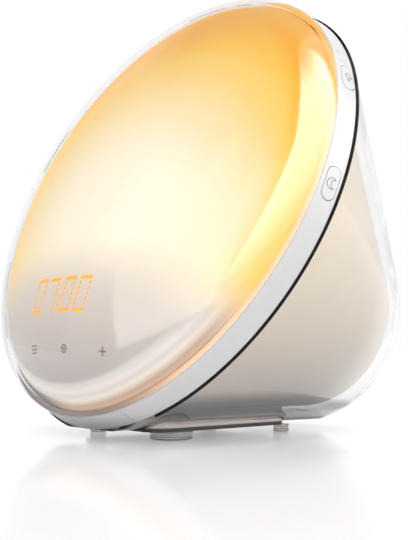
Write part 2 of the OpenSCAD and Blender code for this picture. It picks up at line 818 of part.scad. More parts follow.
module heat_sink() {
    back = led_z - led_board_t;
    color("silver") on_face() difference() {
        union() {
            translate([0, 0, back - sink_t]) cylinder(r = light_r, h = sink_t);
            // fins, left out round the screw heads
            translate([0, 0, back - sink_t - fin_h]) linear_extrude(fin_h + eps) difference() {
                intersection() {
                    circle(r = light_r - 0.6);
                    for (i = [-4 : 4])
                        translate([i * fin_pitch - fin_t / 2, -light_r]) square([fin_t, 2 * light_r]);
                }
                for (a = light_screw_angles)
                    rotate(a) translate([light_screw_orbit, 0]) circle(r = 2.7);
            }
        }
        for (a = light_screw_angles)
            rotate([0, 0, a]) translate([light_screw_orbit, 0, back - sink_t - 1])
                cylinder(r = 1.05, h = sink_t + 2);
    }
}

module light_screws() {
    color("gray") on_face() for (a = light_screw_angles)
        rotate([0, 0, a]) translate([light_screw_orbit, 0, led_z - led_board_t - sink_t])
            screw(sink_t + led_board_t + bowl_wall, 2, 1.4, 1);
}

// =============================== main board ===============================

module main_board() {
    color("darkgreen") on_face() translate([-main_w / 2, main_low, main_back]) difference() {
        cube([main_w, main_len, main_t]);
        for (p = main_posts)
            translate([p.x + main_w / 2, p.y - main_low, -1]) cylinder(r = 1.05, h = main_t + 2);
    }
}

module board_screws() {
    color("gray") on_face() for (p = main_posts)
        translate([p.x, p.y, main_back]) screw(main_t, 2, 1.4, 1);
}

// Stands children on the back of the main board, at shares of its half width and of its height
module on_board(across, up) {
    on_face() translate([across * main_w / 2, main_low + up * main_len, main_back]) children();
}

module chip(w, l, h) {
    translate([-w / 2, -l / 2, -h]) cube([w, l, h]);
}

module main_chips() {
    color([0.1, 0.1, 0.1]) {
        on_board(-0.36, 0.61) chip(chip_w, chip_w, chip_h);
        on_board(0.24, 0.67) chip(chip_w / 2, chip_w / 3, chip_h);
        on_board(0.24, 0.33) chip(chip_w / 2.4, chip_w / 1.6, chip_h);
    }
}

// Plugs on the main board for the lamp, the sockets and the speaker
module board_connectors() {
    color("ivory") {
        on_board(-0.3, 0.92) chip(main_w * 0.18, plug_l, plug_h);
        on_board(0.15, 0.92) chip(main_w * 0.15, plug_l, plug_h);
        on_board(0, 0.2) chip(main_w * 0.12, plug_l, plug_h);
    }
}

// Three wires from the main board's top edge to the light board's rim
module light_lead() {
    color("red") for (dx = [-2, 0, 2]) {
        x = -0.15 * main_w + dx;
        low = main_top + 0.1;
        high = -sqrt(light_r * light_r - pow(abs(x) - wire_r, 2)) - 0.2;
        on_face() translate([x, low, led_z - 1]) rotate([-90, 0, 0]) cylinder(r = wire_r, h = high - low);
    }
}

// Two wires from the main board's lower edge down and back to the speaker's flange
module speaker_lead() {
    z = speaker_z + flange_t / 2;
    start = on_face_point(0, main_low, -main_a - main_t / 2) - [0, 0.2, 0.9];
    flange_y = speaker_y - speaker_d / 2 - 0.1;
    color("black") for (x = [-1, 1]) {
        translate([x, start.y, z]) {
            cylinder(r = wire_r, h = start.z - z);
            sphere(r = wire_r);
            rotate([-90, 0, 0]) cylinder(r = wire_r, h = flange_y - start.y);
        }
    }
}

// Three wires that sag from the main board's plug to the socket board
module socket_lead() {
    from = on_face_point(0, main_low + 0.92 * main_len, main_back - plug_h - 0.2);
    to = [0, boss_front_y - 2, panel_z - panel_h / 2 + 3];
    run = norm(to - from);
    radius = run * run / (8 * lead_sag) + lead_sag / 2;
    half = asin(run / 2 / radius);
    rise = atan2(to.z - from.z, to.y - from.y);
    color("yellow") for (dx = [-2, 0, 2])
        translate([0.075 * main_w + dx, (from.y + to.y) / 2, (from.z + to.z) / 2])
            rotate([rise, 0, 0]) translate([0, 0, radius - lead_sag]) rotate([0, 90, 0])
                rotate([0, 0, -half]) rotate_extrude(angle = 2 * half)
                    translate([radius, 0]) circle(r = wire_r);
}

module capacitors() {
    color("navy") {
        for (up = [0.74, 0.385]) on_board(0.6, up) translate([0, 0, -cap_h]) cylinder(r = cap_r, h = cap_h);
        on_board(-0.6, 0.15) translate([0, 0, -cap_h * 0.7]) cylinder(r = cap_r * 0.6, h = cap_h * 0.7);
    }
}

// =============================== housing and rear shell ===============================

module parting_keep(above) {
    span = 4 * body_rim_r;
    translate([0, face_y, parting_z]) rotate([-parting_fall, 0, 0])
        translate([-span / 2, -span / 2, above ? 0 : -span]) cube([span, span, span]);
}

module socket_outline(grow) {
    rounded_rect(panel_w + 2 * grow, panel_h + 2 * grow, 4 + grow);
}

// Extrudes an outline that faces the rear, from y0 to y1 at the sockets' height
module rearward(y0, y1) {
    translate([0, y1, panel_z]) rotate([90, 0, 0]) linear_extrude(y1 - y0) children();
}

module inner_housing() {
    color([0.93, 0.88, 0.8]) difference() {
        union() {
            intersection() {
                skin_shell(housing_skin, housing_wall);
                parting_keep(true);
            }
            rearward(boss_front_y, boss_back_y) socket_outline(0);
            // ears that the carrier's bosses meet
            intersection() {
                hull() skin_shell(housing_skin, housing_wall);
                on_face() for (a = boss_angles)
                    rotate([0, 0, a]) translate([boss_orbit, 0, -housing_a - 2]) {
                        cylinder(r = 3.2, h = 2);
                        translate([0, -3.2, 0]) cube([housing_rim_r - boss_orbit - 0.8, 6.4, 2]);
                    }
            }
        }
        on_face() for (a = boss_angles)
            rotate([0, 0, a]) translate([boss_orbit, 0, -housing_a - 3])
                cylinder(r = screw_r + 0.05, h = 4);
        rearward(boss_front_y - 1, boss_back_y + 1) {
            translate([power_x, 0]) square(socket_case, center = true);
            square(socket_case, center = true);
            translate([usb_x, 0]) square([13.2, socket_case], center = true);
        }
    }
}

module housing_screws() {
    color("gray") on_face() for (a = boss_angles)
        rotate([0, 0, a]) translate([boss_orbit, 0, -housing_a - 2]) screw(8, 2, 1.5, screw_r);
}

module lower_tray() {
    color([0.7, 0.66, 0.62]) difference() {
        union() {
            intersection() {
                skin_shell(housing_skin, housing_wall);
                parting_keep(false);
            }
            translate([0, base_y, tray_z]) linear_extrude(deck_t)
                rounded_rect(base_w - 1, base_l - 1, base_r - 0.5);
            // posts for the screws from below
            intersection() {
                for (sx = [-1, 1], y = [screw_front_y, screw_rear_y])
                    translate([sx * screw_x, y, tray_z]) cylinder(r = 3.4, h = post_h);
                parting_keep(false);
            }
        }
        translate([0, speaker_y, tray_z - 1]) cylinder(r = speaker_d / 2 - 3, h = deck_t + 4);
        translate([0, speaker_y, tray_z + deck_t]) cylinder(r = speaker_d / 2 + 1.6, h = basket_h);
        for (sx = [-1, 1], y = [screw_front_y, screw_rear_y])
            translate([sx * screw_x, y, tray_z - 1]) cylinder(r = screw_r + 0.05, h = post_h - 2);
    }
}

module rear_shell() {
    color("white", 0.3) difference() {
        skin_shell(shell_skin, shell_wall);
        translate([0, base_y, 0]) linear_extrude(tray_z + 3)
            rounded_rect(base_w + 2 * fit, base_l + 2 * fit, base_r + fit);
        rearward(bulb_c.y, panel_y + 5) socket_outline(fit);
    }
}

// =============================== base, feet and speaker ===============================

module base_plate() {
    skirt_t = 2;
    color([0.35, 0.35, 0.33]) difference() {
        union() {
            translate([0, base_y, foot_h]) linear_extrude(base_t) rounded_rect(base_w, base_l, base_r);
            translate([0, base_y, base_top - eps]) difference() {
                linear_extrude(skirt_h + eps) rounded_rect(base_w, base_l, base_r);
                translate([0, 0, -1]) linear_extrude(skirt_h + 2)
                    rounded_rect(base_w - 2 * skirt_t, base_l - 2 * skirt_t, base_r - skirt_t);
            }
            for (sx = [-1, 1], y = [screw_front_y, screw_rear_y])
                translate([sx * screw_x, y, base_top - eps]) cylinder(r = 3.4, h = skirt_h + eps);
        }
        for (sx = [-1, 1], y = [screw_front_y, screw_rear_y])
            translate([sx * screw_x, y, foot_h - 1]) {
                cylinder(r = screw_r + 0.05, h = skirt_h + 5);
                cylinder(r = 2.9, h = 1 + 2);
            }
        sound_slots();
    }
}

// Slots under the speaker, each as long as the round cone over it
module sound_slots() {
    reach = speaker_d / 2 - 5;
    count = floor(reach / slot_pitch);
    for (i = [-count : count]) {
        half = sqrt(reach * reach - pow(i * slot_pitch, 2));
        translate([i * slot_pitch, speaker_y, foot_h - 1])
            linear_extrude(base_t + 2) stadium(2 * half, slot_w);
    }
}

module base_screws() {
    color("gray") for (sx = [-1, 1], y = [screw_front_y, screw_rear_y])
        translate([sx * screw_x, y, foot_h + 2]) screw(skirt_h + base_t + deck_t - 2.4, 2.7, 1.6, screw_r);
}

module foot(d) {
    edge = 0.5;
    rotate_extrude() polygon([[0, 0], [d / 2 - edge, 0], [d / 2, edge], [d / 2, foot_h], [0, foot_h]]);
}

module large_foot() {
    color("lightgray") translate([large_foot_x, foot_front_y, 0]) foot(large_foot_d);
}

module small_feet() {
    color("lightgray") {
        translate([-small_foot_x, foot_front_y - foot_lead, 0]) foot(small_foot_d);
        for (sx = [-1, 1]) translate([sx * small_foot_x, foot_rear_y, 0]) foot(small_foot_d);
    }
}

speaker_z = tray_z + deck_t + gasket_t;
flange_t = 1.6;

module on_speaker() {
    translate([0, speaker_y, speaker_z]) children();
}

speaker_screw_angles = [45, 135, 225, 315];
speaker_screw_orbit = speaker_d / 2 - 1.4;

module speaker_frame() {
    top_r = magnet_d / 2;
    low_r = speaker_d / 2 - 3.4;
    color([0.2, 0.2, 0.2]) on_speaker() difference() {
        union() {
            difference() {
                cylinder(r = speaker_d / 2, h = flange_t);
                translate([0, 0, -1]) cylinder(r = low_r - 1, h = flange_t + 2);
            }
            rotate_extrude() polygon([
                [low_r - 1, flange_t - eps], [low_r, flange_t - eps],
                [top_r, basket_h], [0, basket_h], [0, basket_h - 1], [top_r - 1, basket_h - 1]]);
            for (a = speaker_screw_angles)
                rotate([0, 0, a]) translate([speaker_screw_orbit, 0, 0]) cylinder(r = 2.6, h = flange_t);
        }
        for (a = speaker_screw_angles)
            rotate([0, 0, a]) translate([speaker_screw_orbit, 0, -1]) cylinder(r = 1.05, h = 4);
    }
}

module speaker_gasket() {
    color([0.15, 0.15, 0.15]) on_speaker() translate([0, 0, -gasket_t]) linear_extrude(gasket_t)
        difference() {
            circle(r = speaker_d / 2);
            circle(r = speaker_d / 2 - 3);
            for (a = speaker_screw_angles) rotate(a) translate([speaker_screw_orbit, 0]) circle(r = 1.1);
        }
}

module speaker_cone() {
    rim = speaker_d / 2 - 4.6;
    color([0.3, 0.28, 0.26]) on_speaker() rotate_extrude() polygon([
        [rim, 0], [rim - 1.2, 0.8], [rim - 2.6, 0.1], [6, basket_h - 4], [3, basket_h - 3.2],
        [0, basket_h - 3], [0, basket_h - 2.4], [3, basket_h - 2.6], [6.2, basket_h - 3.4],
        [rim - 2.4, 0.8], [rim - 1.2, 1.5], [rim, 0.7]]);
}

module speaker_magnet() {
    color("silver") on_speaker() translate([0, 0, basket_h]) cylinder(d = magnet_d, h = magnet_h);
}

module speaker_screws() {
    color("gray") on_speaker() for (a = speaker_screw_angles)
        rotate([0, 0, a]) translate([speaker_screw_orbit, 0, flange_t])
            rotate([180, 0, 0]) screw(flange_t + gasket_t, 1.9, 1.2, 1);
}

// =============================== sockets ===============================

module socket_panel() {
    color([0.75, 0.75, 0.74]) rearward(boss_back_y, panel_y) difference() {
        socket_outline(0);
        translate([power_x, 0]) circle(d = power_bore + 0.6);
        circle(d = audio_bore + 1.4);
        translate([usb_x, 0]) square([usb_hole_w, 5], center = true);
    }
}

module power_socket() {
    color([0.1, 0.1, 0.1]) difference() {
        rearward(boss_front_y, boss_back_y) translate([power_x, 0]) square(socket_case - 0.2, center = true);
        rearward(boss_front_y + 4, boss_back_y + 1) translate([power_x, 0]) circle(d = power_bore);
    }
}

module power_pin() {
    color("gold") rearward(boss_front_y + 4, boss_back_y - 1) translate([power_x, 0])
        circle(d = power_pin_d);
}

module audio_socket() {
    color([0.1, 0.1, 0.1]) {
        difference() {
            rearward(boss_front_y, boss_back_y) square(socket_case - 0.2, center = true);
            rearward(boss_front_y + 1, boss_back_y + 1) circle(d = audio_bore);
        }
    }
}

module usb_socket() {
    color("silver") difference() {
        rearward(boss_front_y, boss_back_y) translate([usb_x, 0]) square([13, 5.8], center = true);
        difference() {
            rearward(boss_front_y + 2, boss_back_y + 1) translate([usb_x, 0]) square([12.2, 4.8], center = true);
            rearward(boss_front_y, boss_back_y - 1) translate([usb_x, 1.1]) square([10, 1.6], center = true);
        }
    }
}

module socket_board() {
    color("darkgreen") rearward(boss_front_y - 1.6, boss_front_y)
        square([panel_w - 2, panel_h - 1], center = true);
}

front_cover();
rim_light();
front_diffuser();
clock_digits();
touch_marks();
display_module();
display_board();
touch_board();
touch_springs();
trim_ring();
ring_insert();
seal_ring();
light_button();
snooze_button();
alarm_button();
sound_button();
button_switches();
switch_boards();
carrier_frame();
light_barrier();
reflector_bowl();
led_board();
white_leds();
amber_leds();
red_leds();
heat_sink();
light_screws();
main_board();
main_chips();
capacitors();
board_connectors();
board_screws();
light_lead();
speaker_lead();
socket_lead();
inner_housing();
lower_tray();
housing_screws();
rear_shell();
base_plate();
base_screws();
large_foot();
small_feet();
speaker_frame();
speaker_gasket();
speaker_cone();
speaker_magnet();
speaker_screws();
socket_panel();
power_socket();
power_pin();
audio_socket();
usb_socket();
socket_board();
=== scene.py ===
"""Sunrise alarm clock: finished surfaces, materials and studio, in metres, +Z up, in the packed frame."""

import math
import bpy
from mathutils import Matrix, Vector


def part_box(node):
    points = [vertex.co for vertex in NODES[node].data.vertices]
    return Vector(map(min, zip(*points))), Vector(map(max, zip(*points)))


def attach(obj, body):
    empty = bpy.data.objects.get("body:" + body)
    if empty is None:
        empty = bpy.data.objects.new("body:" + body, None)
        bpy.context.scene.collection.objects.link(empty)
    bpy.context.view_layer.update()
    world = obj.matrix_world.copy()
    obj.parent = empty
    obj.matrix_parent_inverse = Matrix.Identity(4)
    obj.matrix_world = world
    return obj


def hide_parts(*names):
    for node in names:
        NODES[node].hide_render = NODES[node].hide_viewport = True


bl_info = {
    "name": "Sunrise Alarm Clock",
    "version": (1, 0, 0),
    "blender": (4, 5, 0),
    "location": "View3D > Sidebar > Clock",
    "description": "Builds the surfaces, materials and studio of a sunrise alarm clock",
    "category": "Object",
}

import bpy
import numpy as np
from bpy.props import FloatProperty, FloatVectorProperty, IntProperty, PointerProperty
from mathutils import Vector

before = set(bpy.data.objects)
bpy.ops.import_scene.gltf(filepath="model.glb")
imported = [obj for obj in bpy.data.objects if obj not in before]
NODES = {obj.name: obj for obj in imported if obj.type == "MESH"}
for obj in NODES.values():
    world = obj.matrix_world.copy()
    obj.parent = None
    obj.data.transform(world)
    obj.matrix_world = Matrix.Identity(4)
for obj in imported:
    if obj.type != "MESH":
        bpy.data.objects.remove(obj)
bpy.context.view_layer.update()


# ------------------------------------------------------------------ settings


def length(name, description, default):
    """A size in metres that the user can change."""
    return FloatProperty(name=name, description=description, default=default, unit="LENGTH", precision=5)


def paint(name, description, default):
    """A colour that the user can change."""
    return FloatVectorProperty(
        name=name, description=description, default=default, size=3, subtype="COLOR", min=0, max=1
    )


def angle(name, description, degrees):
    """An angle that the user can change."""
    return FloatProperty(name=name, description=description, default=math.radians(degrees), subtype="ANGLE")


def amount(name, description, default):
    """A plain number that the user can change."""
    return FloatProperty(name=name, description=description, default=default)


class FaceSettings(bpy.types.PropertyGroup):
    """Sizes of the leaning face, its clear dome and its diffuser"""

    tilt: angle("Tilt", "Lean of the face from upright", 23.8)
    radius: length("Radius", "Radius of the ring's front edge", 0.093)
    dome_height: length("Dome height", "Height of the clear dome in front of the ring", 0.031)
    dome_wall: length("Dome wall", "Wall of the clear dome", 0.0018)
    dome_gap: length("Dome gap", "Gap between dome and diffuser in the middle", 0.0008)
    fit: length("Fit", "Play between pieces that sit in each other", 0.0003)
    rim_gap: length("Rim gap", "Gap between dome and diffuser above the rim", 0.0016)
    groove: length("Groove", "Depth of the light ring's groove in the dome's rim", 0.0009)
    flange_radius: length("Flange radius", "Outside radius of the diffuser's flange", 0.0879)
    flange_reach: length("Flange reach", "How far the flange goes inside the diffuser's wall", 0.004)
    diffuser_wall: length("Diffuser wall", "Wall of the diffuser", 0.0018)
    flange: length("Flange", "Thickness of the diffuser's rim flange", 0.0016)


class RingSettings(bpy.types.PropertyGroup):
    """Sizes of the white ring, its seal and its buttons"""

    depth: length("Depth", "Depth of the ring", 0.0083)
    flare: length("Flare", "How much wider the ring's radius is at the back", 0.0012)
    wall: length("Wall", "Wall of the ring at the front", 0.0024)
    lift: length("Lift", "Lowest point of the ring over the table", 0.0033)
    edge: length("Edge", "Radius of the ring's rounded edges", 0.0005)
    insert_arc: angle("Insert", "Angle taken by the insert at the bottom", 35)
    seam: length("Seam", "Width of the seams beside the insert", 0.00025)
    seal: length("Seal", "Thickness of the black seal", 0.001)
    seal_inset: length("Seal inset", "How far the seal stays inside the ring's back edge", 0.0022)
    seal_lip: length("Seal lip", "Thickness of the seal's inner lip", 0.0008)
    button_length: length("Button length", "Length of a button along the ring", 0.0118)
    button_width: length("Button width", "Width of a button across the ring", 0.0052)
    button_proud: length("Button height", "How far a button stands out of the ring", 0.0003)
    button_gap: length("Button gap", "Gap round a button", 0.0003)


class RearSettings(bpy.types.PropertyGroup):
    """Sizes of the clear rear body and the frosted housing inside it"""

    reach: length("Reach", "Reach of the body behind the middle of the face", 0.097)
    rim_radius: length("Rim radius", "Radius of the clear body at its front rim", 0.095)
    bulb_width: length("Bulb width", "Width of the rounded rear end", 0.129)
    bulb_depth: length("Bulb depth", "Depth of the rounded rear end", 0.059)
    bulb_height: length("Bulb height", "Height of the rounded rear end", 0.1074)
    bulb_z: length("Bulb middle", "Height of the middle of the rear end", 0.0542)
    bulb_tip: angle("Bulb tip", "Tip of the rounded rear end", 7)
    ring_gap: length("Ring gap", "Gap between the ring's back and the shell's rim", 0.0005)
    wall: length("Wall", "Wall of the clear shell", 0.0024)
    lift: length("Lift", "Lowest level of the clear shell", 0.0034)
    housing_gap: length("Housing gap", "Gap between shell and housing at the rear end", 0.0056)
    housing_wall: length("Housing wall", "Wall of the frosted housing", 0.0018)
    housing_lift: length("Housing lift", "Lift of the housing's rounded end", 0.0015)
    housing_rim: length("Housing rim", "Radius of the housing at its rim", 0.0873)
    parting_z: length("Parting height", "Height of the tray's parting line", 0.022)
    parting_fall: angle("Parting fall", "Fall of the parting line to the rear", 7)
    panel_width: length("Panel width", "Width of the socket panel", 0.044)
    panel_height: length("Panel height", "Height of the socket panel", 0.015)
    panel_corner: length("Panel corner", "Corner radius of the socket panel", 0.004)
    panel_z: length("Panel middle", "Height of the middle of the socket panel", 0.056)
    panel_sink: length("Panel sink", "Depth of the panel inside the rearmost point", 0.0012)


class BaseSettings(bpy.types.PropertyGroup):
    """Sizes of the base plate and the feet"""

    width: length("Width", "Width of the base plate", 0.052)
    length: length("Length", "Length of the base plate", 0.068)
    corner: length("Corner", "Corner radius of the base plate", 0.008)
    ahead: length("Ahead", "Middle of the base plate ahead of the clock's", 0.00951)
    level: length("Tray level", "Height of the tray's underside", 0.0092)
    deck: length("Tray deck", "Thickness of the tray's deck", 0.002)


class ColourSettings(bpy.types.PropertyGroup):
    """Colours of the finishes"""

    glow_edge: paint("Glow edge", "Glow at the top edge of the face", (0.93, 0.43, 0.012))
    glow_deep: paint("Glow deep", "Glow inside the top edge", (0.965, 0.585, 0.085))
    glow_warm: paint("Glow warm", "Glow between edge and middle", (0.982, 0.70, 0.27))
    glow_pale: paint("Glow pale", "Glow round the middle of the face", (0.991, 0.855, 0.60))
    glow_middle: paint("Glow middle", "Glow in the middle of the face", (1.0, 0.90, 0.72))
    display_top: paint("Display upper", "Unlit face round the clock time", (0.80, 0.70, 0.62))
    # painted shade: the unlit face is darker towards its lower edge
    display_low_shade: paint("Display lower", "Unlit face at its lower edge", (0.50, 0.45, 0.425))
    figures: paint("Figures", "Clock time", (1.0, 0.42, 0.0))
    print_grey: paint("Print", "Touch marks and button signs", (0.16, 0.14, 0.13))
    rim_glow: paint("Rim light", "Glow of the light ring under the dome's rim", (0.82, 0.56, 0.36))
    white: paint("White", "White gloss plastic", (0.90, 0.90, 0.90))
    # the housing's colours by height are painted light high up and painted shade low down
    housing_top: paint("Housing upper", "Frosted housing near the top", (0.97, 0.80, 0.50))
    housing_warm: paint("Housing middle", "Frosted housing at half height", (0.97, 0.82, 0.60))
    housing_low_shade: paint("Housing lower", "Frosted housing low down", (0.50, 0.44, 0.38))
    tray: paint("Tray", "Lower tray", (0.84, 0.72, 0.63))
    # painted shade: the tray's colour near the table
    tray_low_shade: paint("Tray underside", "Lower tray near the table", (0.08, 0.068, 0.06))
    base: paint("Base", "Base plate", (0.84, 0.76, 0.71))


class StudioSettings(bpy.types.PropertyGroup):
    """Camera and lights"""

    camera_place: FloatVectorProperty(
        name="Camera",
        description="Place of the camera",
        default=(0.29622, -0.24387, 0.03275),
        size=3,
        subtype="TRANSLATION",
        precision=5,
    )
    camera_turn: FloatVectorProperty(
        name="Turn",
        description="Turn of the camera",
        default=(math.radians(94.94), 0.0, math.radians(50.48)),
        size=3,
        subtype="EULER",
    )
    lens: amount("Lens", "Focal length in millimetres", 61.64)
    world_light: amount("World light", "Strength of the light from all round", 0.80)
    window: amount("Window", "Strength of the pane that shows in the face", 4.2)
    right_screen: amount("Right screen", "Strength of the tall screen on the right", 8.5)
    lit_share: amount("Lit share", "Share of the right screen's strength that it gives as light", 0.12)
    floor_lift: amount("Floor lift", "Lift of the floor to white", 0.28)
    turns: IntProperty(name="Turns", description="Steps round a turned surface", default=288, min=48)


GROUPS = {
    "clock_face": FaceSettings,
    "clock_ring": RingSettings,
    "clock_rear": RearSettings,
    "clock_base": BaseSettings,
    "clock_colour": ColourSettings,
    "clock_studio": StudioSettings,
}


def settings(name):
    """The settings group of that name in the scene."""
    return getattr(bpy.context.scene, "clock_" + name)


# ------------------------------------------------------------------ shapes


def face_axes():
    """Middle of the face, and the unit directions to the right, up its slope and out of it."""
    face, ring, rear = settings("face"), settings("ring"), settings("rear")
    t = face.tilt
    front = math.hypot(face.dome_height * math.cos(t), face.radius * math.sin(t))
    height = ring.lift + ring.depth * math.sin(t) + (face.radius + ring.flare) * math.cos(t)
    return (
        np.array([0.0, (front - rear.reach) / 2, height]),
        np.array([1.0, 0.0, 0.0]),
        np.array([0.0, math.sin(t), math.cos(t)]),
        np.array([0.0, -math.cos(t), math.sin(t)]),
    )


def grid_quads(rows, cols, wrap_rows=False, wrap_cols=False):
    """Corner numbers of the squares of a rows by cols grid; a wrapped side joins its end to its start."""
    i, j = np.meshgrid(
        np.arange(rows if wrap_rows else rows - 1), np.arange(cols if wrap_cols else cols - 1), indexing="ij"
    )
    i2, j2 = (i + 1) % rows, (j + 1) % cols
    return np.stack([i * cols + j, i * cols + j2, i2 * cols + j2, i2 * cols + j], -1).reshape(-1, 4)


def mesh_piece(name, parts, sharp=35):
    """A mesh object from a list of (points, quads). Points that coincide become one, squares with a shared
    corner become triangles, and each part is turned so that its signed volume, the sum of a . (b x c) / 6, is
    positive."""
    verts, faces, start = [], [], 0
    for points, quads in parts:
        flat = np.asarray(points, float).reshape(-1, 3)
        key = np.round(flat * 1e8).astype(np.int64)
        _, first, index = np.unique(key, axis=0, return_index=True, return_inverse=True)
        corners = index.ravel()[quads]
        flat = flat[first]
        same = corners == np.roll(corners, -1, axis=1)
        count = same.sum(1)
        square = corners[count == 0]
        triangle = corners[count == 1][~same[count == 1]].reshape(-1, 3)
        fans = np.concatenate([square[:, [0, 1, 2]], square[:, [0, 2, 3]], triangle])
        a, b, c = (flat[fans[:, n]] for n in range(3))
        if np.einsum("ij,ij->", a - flat.mean(0), np.cross(b - flat.mean(0), c - flat.mean(0))) < 0:
            square, triangle = square[:, ::-1], triangle[:, ::-1]
        verts.append(flat)
        faces += (square + start).tolist() + (triangle + start).tolist()
        start += len(flat)
    mesh = bpy.data.meshes.new(name)
    mesh.from_pydata(np.concatenate(verts).tolist(), [], faces)
    mesh.update()
    piece = bpy.data.objects.new(name, mesh)
    bpy.context.scene.collection.objects.link(piece)
    smooth(piece, sharp)
    return piece


def smooth(piece, sharp=35):
    """Smooth shading, with edges sharper than that many degrees kept."""
    piece.data.shade_smooth()
    piece.data.set_sharp_from_angle(angle=math.radians(sharp))


def carve(piece, cutters, operation="DIFFERENCE", sharp=35):
    """The piece with the cutters taken away, or kept only inside them, as a finished mesh."""
    for cutter in cutters:
        step = piece.modifiers.new("carve", "BOOLEAN")
        step.operation = operation
        step.solver = "EXACT"
        step.object = cutter
    bpy.context.view_layer.update()
    mesh = bpy.data.meshes.new_from_object(piece.evaluated_get(bpy.context.evaluated_depsgraph_get()))
    piece.modifiers.clear()
    piece.data = mesh
    for cutter in cutters:
        bpy.data.objects.remove(cutter)
    if not mesh.polygons:
        raise RuntimeError("nothing is left of " + piece.name)
    smooth(piece, sharp)
    return piece


def revolve(profile, axes, start=0.0, end=2 * math.pi, turns=None):
    """Points c + r (cos u right + sin u up) + z out, for each (r, z) of the profile and each angle u."""
    middle, right, up, out = axes
    full = end - start > 2 * math.pi - 1e-6
    turns = turns or max(24, int(settings("studio").turns * (end - start) / (2 * math.pi)))
    u = np.linspace(start, end, turns, endpoint=not full)
    spokes = np.cos(u)[:, None] * right + np.sin(u)[:, None] * up
    r, z = np.asarray(profile, float).T
    return middle + r[:, None, None] * spokes + z[:, None, None] * out, full


def turned(name, profile, axes, start=0.0, end=2 * math.pi, closed=True, sharp=35):
    """A turned piece. A closed profile runs round into itself; an open one has both ends on the axis. A turn
    of less than a full circle gets flat ends, each a fan from the middle of its section."""
    points, full = revolve(profile, axes, start, end)
    rows, cols = points.shape[:2]
    if not full:
        ends = points[:, [0, -1]].mean(0)
        left, right = (np.broadcast_to(e, (rows, 1, 3)) for e in ends)
        points = np.concatenate([left, points, right], 1)
        cols += 2
    return mesh_piece(name, [(points, grid_quads(rows, cols, closed, full))], sharp)


def rounded_outline(width, height, corner, steps=12):
    """Points round a rectangle whose corners are quarter circles round the middle of each corner's arc."""
    a = np.linspace(0, math.pi / 2, steps)
    arc = corner * np.stack([np.cos(a), np.sin(a)], 1)
    w, h = width / 2 - corner, height / 2 - corner
    quarter = [(1, 1, False), (-1, 1, True), (-1, -1, False), (1, -1, True)]
    runs = [np.array([sx, sy]) * (arc[::-1] if turn else arc) + [sx * w, sy * h] for sx, sy, turn in quarter]
    return np.concatenate(runs)


def stacked(levels, place, flat_top=True):
    """Points of a piece built from outlines, one for each level, each put in space by place(outline, height).
    The first and last outlines shrink to their middles, which closes the ends; without a flat top the last
    one is a line that closes the piece by itself."""
    rows = [place(outline, height) for outline, height in levels]
    first, last = (np.broadcast_to(row.mean(0), row.shape) for row in (rows[0], rows[-1]))
    points = np.stack([first, *rows, last] if flat_top else [first, *rows])
    return points, grid_quads(len(points), points.shape[1], False, True)


def prism(name, outline, low, high, place):
    """A straight piece with one outline from the first level to the second."""
    return mesh_piece(name, [stacked([(outline, low), (outline, high)], place)])


def upright(x, y):
    """Puts an outline in a level plane, centred at x, y."""
    return lambda outline, z: np.column_stack([outline + [x, y], np.full(len(outline), z)])


def rearward(z):
    """Puts an outline in a plane that faces the rear, centred at height z; its level is the distance back."""
    return lambda outline, y: np.column_stack([outline[:, 0], np.full(len(outline), y), outline[:, 1] + z])


def half_ellipse(radius, height, start=0.0, steps=48):
    """Points (radius cos a, height sin a) from the angle start up to the axis."""
    a = np.linspace(start, math.pi / 2, steps)
    points = np.stack([radius * np.cos(a), height * np.sin(a)], 1)
    points[-1, 0] = 0.0
    return points


def rear_skin(rim_radius, depth, shrink, lift, level, turns=320, straight=14, rounded=26):
    """A tight wrap round a rim circle and the bulb ellipsoid. For each rim angle u, the plane that holds the
    rim's tangent touches the ellipsoid where m = e / L + (d x e) sqrt(1 - 1 / L^2), in the space in which the
    ellipsoid is a unit ball, with d the tangent and e, L the direction and length, across the tangent, of
    the rim point's offset from the middle. Rows run straight from the rim to the point where the plane
    touches and then over the ball to its rear pole. Nothing goes below level."""
    middle, right, up, out = face_axes()
    rear = settings("rear")
    half = np.array([rear.bulb_width, rear.bulb_depth, rear.bulb_height]) / 2
    c, s = math.cos(rear.bulb_tip), math.sin(rear.bulb_tip)
    tip = np.array([[1, 0, 0], [0, c, -s], [0, s, c]])
    centre = np.array([0, middle[1] + rear.reach - math.hypot(half[1] * c, half[2] * s), rear.bulb_z + lift])
    half = half - shrink
    u = np.linspace(0, 2 * math.pi, turns, endpoint=False)[:, None]
    rim = middle - depth * out + rim_radius * (np.cos(u) * right + np.sin(u) * up)
    offset = ((rim - centre) @ tip) / half
    along = ((np.cos(u) * up - np.sin(u) * right) @ tip) / half
    along /= np.linalg.norm(along, axis=1, keepdims=True)
    across = offset - np.sum(offset * along, 1, keepdims=True) * along
    far = np.linalg.norm(across, axis=1, keepdims=True)
    e = across / far
    touch = e / far + np.cross(along, e) * np.sqrt(1 - 1 / far**2)
    rim = rim + up * np.maximum(0, level - rim[:, 2:]) / up[2]
    k = np.linspace(0, 1, rounded + 1)[:, None, None]
    ball = (1 - k) * touch + k * np.array([0, 1.0, 0])
    ball /= np.linalg.norm(ball, axis=2, keepdims=True)
    ball = centre + (ball * half) @ tip.T
    ball[..., 2] = np.maximum(ball[..., 2], level)
    k = np.linspace(0, 1, straight, endpoint=False)[:, None, None]
    return np.concatenate([(1 - k) * rim + k * ball[0], ball])


def shell_piece(name, rim_radius, depth, shrink, lift, level, wall):
    """A closed shell: the outer skin from its pole to the rim, then the inner skin back to its pole."""
    outer = rear_skin(rim_radius, depth, shrink, lift, level)
    inner = rear_skin(rim_radius - wall, depth, shrink + wall, lift, level + wall)
    points = np.concatenate([outer[::-1], inner])
    return mesh_piece(name, [(points, grid_quads(len(points), points.shape[1], False, True))], 28)


